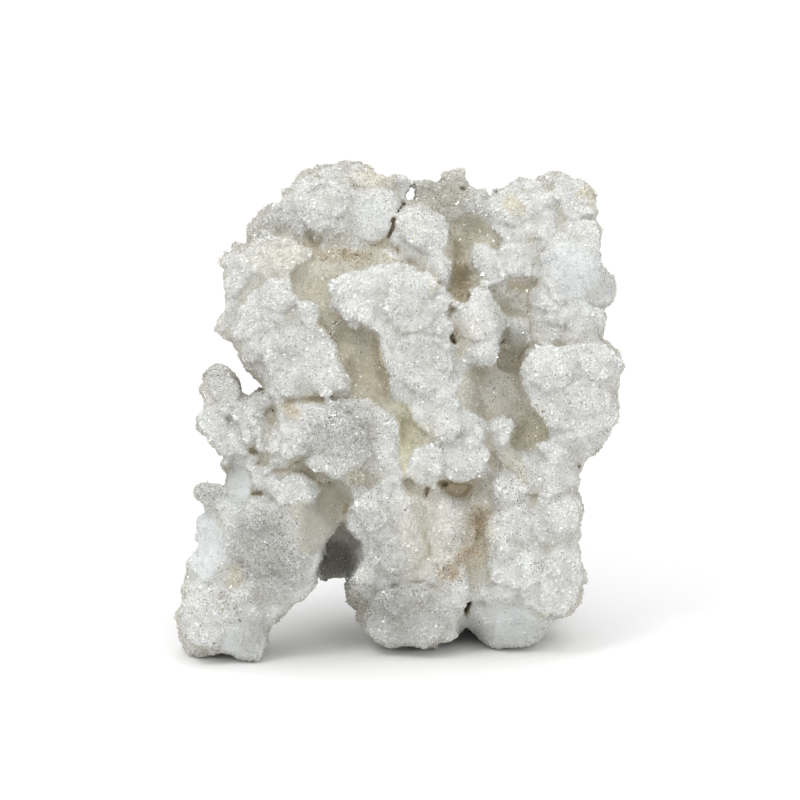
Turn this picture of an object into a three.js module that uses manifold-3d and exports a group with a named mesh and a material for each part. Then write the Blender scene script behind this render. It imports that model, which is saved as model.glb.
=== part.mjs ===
// A white aragonite cluster: one solid, coral-like mass of rounded lumps, grown together into a
// knobbly crown, a hanging tongue and three stubby legs. Millimetres, +Z up, standing on its feet.
import * as THREE from "three";
import { ImprovedNoise } from "three/addons/math/ImprovedNoise.js";
import { SimplifyModifier } from "three/addons/modifiers/SimplifyModifier.js";
import { mergeVertices } from "three/addons/utils/BufferGeometryUtils.js";
import Module from "manifold-3d";

// Driving dimensions.
const LEAN = 12; // degrees that the broad face leans back from upright
const FACET = 2.6; // length of a facet's edge on a lump, before the joined mass is thinned out
const KNOB_SIZE = 8; // spacing of the small knobs on every lump
const KNOB_HEIGHT = 1.3; // how far those knobs stand proud or sink in
const CORNERS = 4950; // corners that the joined mass keeps
const FLOOR_BLOCK = 200; // side of the block that cuts the feet flat
const NOISE_PEAK = 0.5; // usual peak of the noise that raises the knobs
const SAME_CORNER = 1e-4; // corners closer than this are one

const wasm = await Module();
wasm.setup();
const noise = new ImprovedNoise();

// Lumps are laid out on the broad face, as seen from the front:
// [x to the right, height up the face, depth out of it, and the half sizes the same three ways],
// then an optional turn in degrees within the face, counter-clockwise.
const crown = [
  [-19, 99, 2, 12.5, 9.2, 10],
  [-10, 99, 4, 12, 10.5, 10],
  [-13, 105, 0, 12, 8.3, 9],
  [-20.5, 104.9, -2, 8.5, 6.6, 8],
  [-28.5, 97, -1, 7, 6, 8],
  [-6, 99.5, 8, 7.5, 8, 7],
  [-1.5, 108, -1, 5, 2.8, 5],
  [4, 106.8, -4, 3, 2.5, 4],
  [-22.5, 105.3, -4, 4.5, 3.8, 6],
  [-33, 95.5, -4, 4, 3.8, 6],
  [-28.5, 99.5, -3, 5, 4, 7],
  [-10, 111, 0, 5, 2.4, 5],
  [8.5, 107, -6, 5.5, 3.5, 5],
  [13, 109.6, -6, 3.6, 3.2, 4],
  [6, 104, -5, 7, 4.5, 6],
  [15.5, 104.5, -5, 5, 3.5, 6],
  [12, 101.5, -4, 8, 6, 7],
  [18, 103.5, 0, 3.5, 3, 4],
  [17, 95.5, -6, 8, 8, 7],
  [17, 88.5, -7, 5, 10, 7],
];
const crownRight = [
  [30, 98.5, 6, 10, 9.5, 9],
  [38.5, 98.5, 6, 8.5, 9.5, 9],
  [31, 93, 9, 8.5, 7.5, 8],
  [38.5, 90.5, 12, 9, 9, 9],
  [42.5, 89.5, 9, 5.5, 8.5, 8],
  [26.5, 90.5, 11, 6, 5.5, 6],
  [21.8, 90, 10, 5, 6.2, 6],
  [23, 85.5, 9, 4, 4.5, 5],
  [28.5, 105.3, 2, 5.5, 3.6, 7],
  [31, 107.8, 0, 4.5, 2.4, 5],
  [37, 108, 1, 5.8, 3.7, 7],
  [41, 106.2, -1, 3.8, 3.2, 6],
  [42, 103.8, 1, 3.6, 5.4, 7],
  [42.6, 97, 3, 4.5, 6, 8],
  [46.2, 88, -5, 3.2, 5, 6],
  [49.2, 83.5, -6, 3.2, 4.8, 6],
  [47.5, 80.5, -3, 3.5, 2.5, 5],
];
const leftShoulder = [
  [-28, 89, 10, 9, 7.5, 7],
  [-23.5, 92, 11, 3.5, 4, 5],
  [-33, 84, 8, 8, 8, 7],
  [-38, 89, 4, 4.2, 4.5, 6],
  [-38.5, 84.3, 4, 4, 4.3, 6],
  [-36, 92, 2, 3.8, 3, 5],
  [-35.2, 78.5, 8, 5.2, 6, 8],
  [-40.3, 75, 6, 3.7, 3.5, 5],
  [-35.5, 73.5, 8, 4.5, 4.8, 7],
];
const leftArm = [
  [-27.5, 76, 15, 10, 9, 7.5],
  [-30, 81, 12, 7, 5, 6],
  [-24, 69, 18, 9.5, 9, 7.5],
  [-31.2, 68, 14, 6.2, 7, 7],
  [-20, 64, 20, 8, 7.5, 7],
  [-26, 62.5, 19, 6.5, 5.5, 7],
  [-22.5, 78, 17, 4, 4, 6],
  [-18.5, 71.5, 20, 4, 4.5, 5],
  [-16, 66, 21, 3.5, 4, 5],
  [-14, 60.5, 21, 3.5, 4, 4.5],
  [-20.5, 59.5, 20, 6.5, 4.5, 6],
];
const brokenFace = [
  [-14, 84, 17, 12, 8, 4.5],
  [-14, 84, 10, 11, 7.5, 8],
  [-12.5, 90.3, 14, 8.5, 1.8, 4],
  [-12, 74, 10, 8, 13, 8, 35],
  [-5, 63, 14, 6, 7, 8, 30],
];
const tongue = [
  [-3, 91, 13, 5, 4, 5],
  [-1, 83, 19, 11, 7, 7],
  [1, 76, 23, 11, 9, 8],
  [4, 68, 25, 9.5, 9, 8],
  [7, 60, 25.5, 8.5, 9, 8],
  [10, 53, 24.5, 8, 8, 8],
  [-9, 81.5, 20, 6.5, 5.5, 5.5],
  [-9.5, 77.5, 21, 4.5, 3.5, 4.5],
  [-5, 73, 23, 5, 5, 6],
  [-2.5, 67.5, 25, 4, 5, 6],
  [0, 61, 25, 4.5, 5, 6],
  [2.5, 55, 25, 4, 5, 5],
  [8, 82, 19, 4, 4, 5],
  [9, 76, 22, 4.5, 6, 5.5],
  [11.5, 69, 22, 4.5, 5, 5],
  [13, 65, 22, 3.6, 5, 5],
  [12, 58.5, 23, 4.5, 4.5, 5],
  [11, 46, 23, 11, 8, 7.5],
  [6.5, 44, 24, 5.5, 5.5, 6],
  [14.5, 44.5, 24, 7, 6, 6.5],
  [18.5, 43, 21.5, 4, 4.5, 5],
  [17.5, 49, 20, 5, 6, 6],
];
const finger = [
  [4.6, 98.5, 10, 5.8, 5, 6],
  [6, 92, 12.5, 7, 9, 6.5],
  [2, 95.5, 11, 4, 6, 5],
  [9.3, 94, 11, 3.5, 4, 4],
  [8, 87.5, 14, 5.6, 6, 6.5],
  [10, 88.5, 13, 3.8, 5, 5],
  [9, 83, 16, 4, 4, 5],
];
const rightSide = [
  [18.5, 75, 18, 5.8, 7.5, 6.5],
  [20, 70, 17, 4.8, 5.5, 6],
  [18.3, 80, 17, 5, 4.5, 6],
  [21.5, 76, 15, 3.4, 6, 6],
  [27.5, 73.5, 6, 4, 5, 5],
  [26, 77, 4, 6, 8, 6],
  [38, 78, 12, 8, 6.5, 7],
  [35.5, 79, 14, 5.5, 6.5, 6.5],
  [42, 77, 11, 5.5, 6, 7],
  [45.6, 75, 9, 3.3, 5, 6],
  [33.5, 75, 13, 3.5, 4, 5],
  [39.5, 72, 9, 7, 4, 7],
  [39.5, 61, 19, 10.5, 10, 10],
  [41, 54, 18, 9.5, 8.5, 9],
  [45.6, 63.5, 16, 6.4, 6.5, 8],
  [33.5, 64.5, 20, 5.5, 5.5, 7],
  [44.2, 55.3, 17, 6.1, 7.2, 8],
  [40.5, 48.8, 15, 6, 5, 7],
  [36, 47.5, 15, 7.5, 6, 7],
  [48.5, 69, 10, 3, 2.5, 4],
  [22, 60, 12.5, 9.5, 7.5, 7],
  [17, 58.5, 16, 4.5, 5, 5],
  [26, 62.5, 10, 5, 8, 7],
  [24.3, 49.8, 19, 3.4, 4.5, 4.6],
  [24.5, 46, 15, 4, 5, 6],
  [31, 51, 8, 7, 9, 7],
];
const rightLeg = [
  [31, 32, 15, 11.5, 13, 9],
  [30, 18, 13.5, 12, 11, 9.5],
  [29, 36, 17, 8, 7, 7],
  [36.3, 38, 15, 5.5, 7, 8],
  [24, 38, 14, 5, 5.5, 6],
  [35.5, 30, 17, 7.5, 9, 8],
  [27.5, 27, 18, 8, 9, 8],
  [37.6, 20, 15, 5.2, 8.5, 8],
  [29, 19, 18, 8.5, 8.5, 8.5],
  [37.2, 12.3, 13, 6.8, 6.2, 7],
  [32.5, 12, 16, 7.5, 6.5, 8],
  [23.5, 14, 14, 6, 7, 7],
  [25.3, 6, 8, 9.7, 8.4, 9.5],
];
const middleLeg = [
  [-2, 30, 18.5, 10, 10, 8],
  [-1, 19, 17.5, 10.5, 10, 8],
  [-5, 33, 21, 7, 6, 6.5],
  [-9.5, 28.5, 19, 4, 4, 5],
  [-3, 25, 21, 7.5, 7, 7],
  [-3, 19.5, 19, 6.5, 6, 7],
  [9, 26, 15.5, 9, 10, 8],
  [5, 33, 16, 6, 6.5, 6.5],
  [9.5, 17, 15, 9, 8, 8],
  [17.5, 22, 11, 5.5, 13, 8],
  [2.5, 8.5, 11, 11.5, 10.5, 9],
  [-7.5, 13, 9, 5.2, 5.5, 8],
  [10, 8, 11, 6.3, 9, 8],
  [16, 7.5, 4, 3, 5, 8],
  [-6, 15, 16, 3.5, 3.5, 5],
];
const leftBranch = [
  [-43.5, 60.8, 12, 2.5, 3.3, 3],
  [-41.8, 57.5, 13, 4, 4.4, 4.5],
  [-37, 55.8, 14, 6, 3.6, 5],
  [-43.2, 50.8, 18, 4.4, 4.6, 5],
  [-39.5, 47.3, 19, 5.5, 4.8, 5.5],
  [-40.5, 45.5, 18, 4.3, 3.3, 5],
  [-41, 43, 15, 3.2, 2.2, 2.8],
  [-38.2, 37.5, 6, 2.8, 5, 5],
  [-33, 50.5, 18, 8, 6.5, 6.5],
  [-27, 51.5, 20, 7, 6.5, 6.5],
  [-21, 52, 22, 7, 6.5, 6.5],
  [-28, 45, 20, 8, 5.5, 6],
  [-34.5, 42, 17, 5.5, 4.5, 5],
  [-31.5, 39, 18, 5.5, 4.5, 5],
  [-36.3, 34.2, 14, 1.8, 2.8, 2.2],
  [-23.5, 38, 21, 5, 4.5, 4.5],
  [-27.3, 34, 20, 2.6, 3, 3],
  [-21.3, 34.5, 20, 2.4, 3, 3],
  [-14.5, 50, 23.5, 11, 8.5, 7.5],
  [-12, 45, 25, 9, 6.5, 7],
  [-20, 46.5, 24.5, 5, 4, 5],
  [-15.5, 41, 25, 4.5, 4, 4.5],
  [-10.5, 37.5, 24, 4, 4, 4.5],
  [-9.5, 57, 20, 8, 5, 6],
  [-3.5, 50.5, 21, 5, 8, 6],
  [-6, 41.5, 23, 7, 7, 6.5],
  [0.5, 48, 17, 4, 10, 6],
  [-20, 34, 12, 6.5, 10, 7],
];
const leftLeg = [
  [-44.8, 34.3, 22, 2.8, 2.6, 3.5],
  [-40.2, 32.5, 21, 4, 3.4, 5],
  [-33, 22, 18.5, 13.5, 12, 8.5],
  [-35, 28, 22, 7.5, 6, 6.5],
  [-27.5, 27, 22, 8, 7, 6.5],
  [-22.5, 23, 20, 5, 8, 7],
  [-43.2, 25, 16, 4.6, 7, 6],
  [-43.8, 15.5, 17, 5.8, 7, 7],
  [-31, 16, 21, 9.5, 7.5, 7.5],
  [-41, 9.5, 19, 9.2, 8, 8],
  [-46.6, 4, 14, 5.4, 8, 6],
  [-36.4, 3, 17, 5.5, 8, 6],
  [-41.5, 6.3, 17, 8, 7.5, 7],
  [-33, 9, 18, 6.3, 5.3, 7],
  [-25, 14, 18, 5.5, 5.5, 7],
  [-24.5, 13, 9, 4.5, 5, 8],
];
const back = [
  [-22, 97, -9, 11, 9.5, 11],
  [-8, 101, -7, 9, 8, 9],
  [3, 96, -14, 12, 11, 10],
  [20, 99, -10, 9, 7, 8],
  [36, 98, -7, 10, 9, 10],
  [28, 91, -16, 10, 9, 8],
  [-34, 84, -6, 7, 10, 9],
  [-27, 79, -16, 10, 9, 9],
  [-12, 85, -20, 12, 13, 9],
  [8, 83, -21, 10, 9, 8],
  [22, 76, -21, 12, 11, 9],
  [40, 82, -9, 8, 12, 10],
  [-24, 65, -12, 9, 9, 11],
  [-14, 67, -22, 10, 8, 8],
  [-3, 61, -25, 13, 14, 9],
  [14, 61, -21, 8, 9, 9],
  [29, 60, -19, 13, 13, 11],
  [42, 60, -2, 6, 11, 10],
  [-22, 46, -9, 9, 9, 11],
  [-12, 40, -19, 12, 12, 10],
  [8, 42, -24, 12, 12, 9],
  [22, 38, -19, 9, 9, 10],
  [33, 38, -10, 8, 13, 12],
  [14, 28, -21, 9, 9, 9],
  [4, 18, -17, 9, 13, 9],
  [27, 16, -16, 12, 15, 12],
  [17, 8, -15, 7, 9, 9],
  [-37, 18, 9, 9, 13, 10],
];
const heart = [
  [2, 80, -11, 34, 24, 15],
  [2, 52, -12, 29, 26, 17],
  [16, 27, -9, 21, 21, 15],
  [-14, 86, -3, 23, 19, 13],
  [4, 62, -2, 24, 25, 19],
  [-4, 76, 8, 12, 14, 13],
  [14, 52, 8, 12, 12, 14],
  [-22, 62, 3, 10, 20, 14],
  [-16, 46, 12, 16, 10, 12],
  [34, 72, -1, 15, 26, 14],
  [33, 94, -3, 13, 12, 12],
  [40, 54, 6, 9, 12, 14],
  [30, 27, 1, 12, 27, 16],
  [4, 25, 2, 11, 26, 16],
  [-35, 21, 13, 11, 19, 11],
  [-15, 30.5, -8, 12, 17, 13],
  [14, 77, 7, 9, 9, 10],
];

// One lump: a faceted ball, stretched, turned and given knobs.
function lump([x, height, depth, rx, ry, rz, turn = 0]) {
  const detail = Math.max(1, Math.round((rx + ry + rz) / 3 / FACET));
  const ball = new THREE.IcosahedronGeometry(1, detail);
  ball.rotateY(x + height);
  ball.scale(rx, ry, rz);
  ball.rotateZ(THREE.MathUtils.degToRad(turn));
  ball.translate(x, height, depth);
  const centre = new THREE.Vector3(x, height, depth);
  const point = new THREE.Vector3();
  const outward = new THREE.Vector3();
  const places = ball.getAttribute("position");
  for (let i = 0; i < places.count; i++) {
    point.fromBufferAttribute(places, i);
    outward.subVectors(point, centre).normalize();
    const knob = noise.noise(point.x / KNOB_SIZE, point.y / KNOB_SIZE, point.z / KNOB_SIZE);
    point.addScaledVector(outward, (knob / NOISE_PEAK) * KNOB_HEIGHT);
    places.setXYZ(i, point.x, point.y, point.z);
  }
  return ball;
}

// A closed geometry as a manifold-3d solid.
function solidOf(geometry) {
  const bare = new THREE.BufferGeometry();
  bare.setAttribute("position", geometry.getAttribute("position"));
  if (geometry.index) bare.setIndex(geometry.index);
  const merged = mergeVertices(bare, SAME_CORNER);
  return new wasm.Manifold(
    new wasm.Mesh({
      numProp: 3,
      vertProperties: merged.getAttribute("position").array,
      triVerts: new Uint32Array(merged.index.array),
    }),
  );
}

// A manifold-3d solid as a geometry.
function geometryOf(solid) {
  const mesh = solid.getMesh();
  const geometry = new THREE.BufferGeometry();
  geometry.setAttribute("position", new THREE.BufferAttribute(mesh.vertProperties, 3));
  geometry.setIndex(new THREE.BufferAttribute(mesh.triVerts, 1));
  return geometry;
}

// From the face's axes (x, height, depth towards the viewer) to the row's (x, y away, z up).
function standUp(geometry) {
  return geometry.rotateX(THREE.MathUtils.degToRad(90 - LEAN));
}

// The outer skin alone, without what has no corner in common with it.
function outerSkin(geometry) {
  const index = geometry.index.array;
  const parent = new Map();
  const rootOf = (corner) => {
    let root = corner;
    while (parent.get(root) !== root) root = parent.get(root);
    for (let at = corner; at !== root; ) {
      const next = parent.get(at);
      parent.set(at, root);
      at = next;
    }
    return root;
  };
  for (const corner of index) if (!parent.has(corner)) parent.set(corner, corner);
  for (let i = 0; i < index.length; i += 3) {
    parent.set(rootOf(index[i + 1]), rootOf(index[i]));
    parent.set(rootOf(index[i + 2]), rootOf(index[i]));
  }
  const corners = new Map();
  for (const corner of index) corners.set(rootOf(corner), (corners.get(rootOf(corner)) ?? 0) + 1);
  const [skin] = [...corners].sort((a, b) => b[1] - a[1])[0];
  return geometry.setIndex([...index].filter((corner) => rootOf(corner) === skin));
}

// The lumps grown together, thinned out to broad facets.
async function growTogether(groups) {
  let mass = null;
  for (const sizes of groups.flat()) {
    const grown = solidOf(standUp(lump(sizes)));
    mass = mass ? mass.add(grown) : grown;
  }
  const joined = geometryOf(mass);
  const surplus = joined.getAttribute("position").count - CORNERS;
  return new SimplifyModifier().modify(joined, surplus);
}

// The feet cut flat at the floor.
function cutFeet(geometry) {
  const underFloor = new THREE.BoxGeometry(FLOOR_BLOCK, FLOOR_BLOCK, FLOOR_BLOCK);
  underFloor.translate(0, 0, -FLOOR_BLOCK / 2);
  return geometryOf(solidOf(geometry).subtract(solidOf(underFloor)));
}

const mass = await growTogether([
  crown, crownRight, leftShoulder, leftArm, brokenFace, tongue, finger, rightSide, rightLeg,
  middleLeg, leftBranch, leftLeg, back, heart,
]);
const standing = outerSkin(cutFeet(mass));
const middle = new THREE.Box3().setFromBufferAttribute(standing.getAttribute("position"))
  .getCenter(new THREE.Vector3());
standing.translate(-middle.x, -middle.y, 0);
const cluster = new THREE.Mesh(
  standing,
  new THREE.MeshStandardMaterial({ color: 0xdedcd6, roughness: 0.45, metalness: 0 }),
);
cluster.name = "aragonite_cluster";

const part = new THREE.Group();
part.add(cluster);

export default part;
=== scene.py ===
"""The looks of the white aragonite cluster. The mass is grown again from its lumps, finer than the
CAD solid and cut to crisp outlines, and then covered in a crust of small crystals."""
import math

import bpy
import numpy as np
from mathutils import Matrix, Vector


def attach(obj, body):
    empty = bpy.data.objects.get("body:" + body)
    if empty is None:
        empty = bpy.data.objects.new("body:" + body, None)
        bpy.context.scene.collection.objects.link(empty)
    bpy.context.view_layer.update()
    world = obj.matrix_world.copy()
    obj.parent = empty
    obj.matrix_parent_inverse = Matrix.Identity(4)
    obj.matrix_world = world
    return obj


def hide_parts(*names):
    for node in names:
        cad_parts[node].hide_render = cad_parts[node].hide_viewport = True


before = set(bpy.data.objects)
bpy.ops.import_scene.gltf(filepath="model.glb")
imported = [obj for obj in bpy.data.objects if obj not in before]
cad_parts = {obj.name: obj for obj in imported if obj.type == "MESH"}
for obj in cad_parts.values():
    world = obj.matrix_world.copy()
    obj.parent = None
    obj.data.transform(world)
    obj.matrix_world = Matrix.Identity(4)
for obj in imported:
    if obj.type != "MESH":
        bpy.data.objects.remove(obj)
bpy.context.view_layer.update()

NODE = "aragonite_cluster"
BODY = "root"
MM = 0.001

# The broad face leans back. Its own axes are x to the right, height up the face and depth out of it,
# in millimetres. Outlines are drawn on it as they look from the front, from VIEW_DISTANCE away.
LEAN = math.radians(12)
VIEW_DISTANCE = 1100.0
EYE_LEVEL = 57.12  # height on the face that the view is centred on
SHIFT = Vector((-0.000384, -0.010671, 0.0))  # from the face's origin to the row frame, in metres

# The grid on which the mass is grown.
STEP = 0.6
LOW = (-55.0, -12.0, -33.0)
HIGH = (56.0, 117.0, 39.0)
AXES = [np.arange(low, high, STEP, dtype=np.float32) for low, high in zip(LOW, HIGH)]
SHAPE = tuple(len(axis) for axis in AXES)
COLUMNS = AXES[0][:, None], AXES[1][None, :]
DEPTHS = AXES[2][None, None, :]
CORNERS = [(a, b, c) for a in (0, 1) for b in (0, 1) for c in (0, 1)]  # of one cell of the grid
FAR = 9.0  # distances beyond this need not be exact
MAP_STEP = 0.4  # between the points of an outline's own map

MASS_SEED = 5
CRUST_SEED = 41
# Layers of noise: strength, distance between its lumps, seed.
NOISE_GAIN = 1.6  # brings the smoothed random numbers back to a range of about -1 to 1
RAGGED = [(0.85, 1.5, 11), (0.8, 4.0, 12)]  # how the edges of the masses run in and out
RELIEF = [(1.3, 6.5, 21), (0.65, 3.2, 22)]  # ridges and knobs of the surface
FINE_RELIEF = [(0.35, 1.7, 23)]
RELIEF_LEVEL = 1.35  # taken off the relief, so that it also cuts in
WAVY = [(1.1, 4.4, 51), (0.6, 1.8, 52)]  # how the edges of lobes and patches run in and out
FOOT = 9  # height over the floor from which the edges are fully ragged
TRIM_RAGGED = 0.8  # share of that in the last trim of the mass

# How the lumps grow together.
BLEND = 2.6  # width of the fillet between lumps of one mass
JOIN = 1.2  # width of the fillet between one mass and the next
CORE_BLEND = 3.0  # width of the fillet between lumps of the core
GROW = 1.0  # how much the lumps of a mass swell before its outline cuts them
RIM = 1.3  # rounding of the edge that an outline cuts
REAR = LOW[2] + 1.8  # depth at which the back of the core is cut off
REAR_RIM = 4.0  # rounding of the edge of that cut
SPARE = 0.45  # how far a mass may reach past its outline before its edge is rounded
BUDS = [(4.6, 8.0, 0.7), (2.6, 5.0, 0.66)]  # radius, distance apart, share of the radius below the skin
BUD_TRIES = 6000  # places tried for the buds of one mass
BUD_SIZES = (0.75, 1.25)  # half axes of a bud, as shares of its radius
BUD_BLEND = 0.4  # width of the fillet round a bud
BUD_FAR = 2.5  # distances from a bud beyond this need not be exact
BUDDED = 0.5  # a mass with no more relief than this has no buds
SUNK = 2.5  # how far behind the masses the ground between them lies
CORE_RELIEF = 0.9  # share of the relief that the core has
REAR_RELIEF = 0.45  # share of it on the core's back
CREASE = 1.7  # depth of the narrow creases between masses
CREASE_REACH = 4  # grid points on each side that a crease may be wide
CREASE_DEPTH = 12  # deeper ones stay open
CREASE_SLOPE = 0.7  # distance from a crease's floor for each millimetre of depth
LOBE_RISE = 1.2  # height of a lobe's middle, as a share of its rise in the table
LOBE_EDGE = 0.35  # half the width of the slope at a lobe's edge
LOBE_DOME = (0.75, 3)  # height just inside a lobe's edge as a share of the middle, and how far in that is
NEAR = (5, 9)  # lobes and patches fade out between these depths behind the front
PATCH_EDGE = 0.5  # half the width of the slope at a smooth patch's edge
BARE_OVAL = (1.1, 0.9)  # how far out in the oval of a bare part it begins to be smooth, and is so in full
BARE_WAVES = 0.06  # how much its edge runs in and out, as a share of the oval
HOLLOW_WAVES = 0.6  # how much a hollow's edge does
PATCH_SLOPE = 0.8  # distance from a patch's floor for each millimetre of depth
PATCH_DEPTH = 9  # how far behind a patch's floor the mass may lie and still be filled up to it
PATCH_SHARE = 0.85  # how far towards a smooth floor a patch is brought
BARE_BLUR = 3  # grid points on each side over which bare parts are smoothed
HOLLOW_BLUR = 2  # the same for hollows
CRACK_EDGE = 0.3  # rounding of a crack's edge
CRACK_WIDTHS = (0.8, 1.3)  # along a crack, as shares of its width in the table

# How fine the mesh is.
TRIANGLES = 192000  # of the body
REAR_TRIANGLES = 60000  # of those, on what doesn't show from the front
HIDDEN = 16  # how far behind the front that begins

# How the crust grows. LARGE, BRIGHT and LONG are the share of such crystals, and how much more of
# them glassy parts have.
CRYSTALS = 48500  # in each piece of the crust
CRUST_PIECES = 4
CRUST_SHOWN = 14  # how far behind the front the crust is dense
REAR_CRUST = 0.25  # density of the crust behind that
REAR_SIZE = 0.6  # how much larger the crystals are at the back
REAR_START = (8, 16)  # how far behind the front they become larger
CRUST_LOW = 0.6  # no crystals grow on what is nearer the floor than this
CREVICE_LOSS = 0.8  # share of its crystals that a full crevice lacks
PEPPER_GAIN = 0.3  # how many more crystals there are where all is peppered
GRAIN = 0.28  # from the middle of a crystal to its corners
GRAIN_SPREAD = 0.3  # of the logarithm of its size
EDGE_SIZE = 0.25  # how much larger the crystals are on sharp edges
STANDING = (-0.3, 0.9)  # how much further crystals stand out: on flat ground, and what edges add
LARGE = (0.03, 0.15)
LARGE_SIZES = (1.2, 1.6)
BRIGHT = (0.012, 0.1)
LONG = (0.12, 0.5)
LENGTHS = (0.6, 2.6)  # how much longer a long crystal is
SLIMMER = 0.2  # how much of its width that costs
STREAK = (0.62, 0.0, 0.78)  # the way the long crystals lie
STREAK_SPREAD = 0.35
DARK = (0.012, 0.2)  # share of dark grains, and how much more of them peppered parts have
DARK_SIZE = 0.7
DARK_SHARES = (0.45, 1.0)  # how much of GRAIN_TINT a dark grain takes on
BRIGHT_SHARES = (0.5, 1.0)  # how much of GLINT a bright crystal takes on
SHADES = (0.88, 1.2)  # brightness of single crystals
GLOSS = (0.8, 0.2, 0.4)  # of crystals: on average, how much more on glassy parts, and its spread

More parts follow.
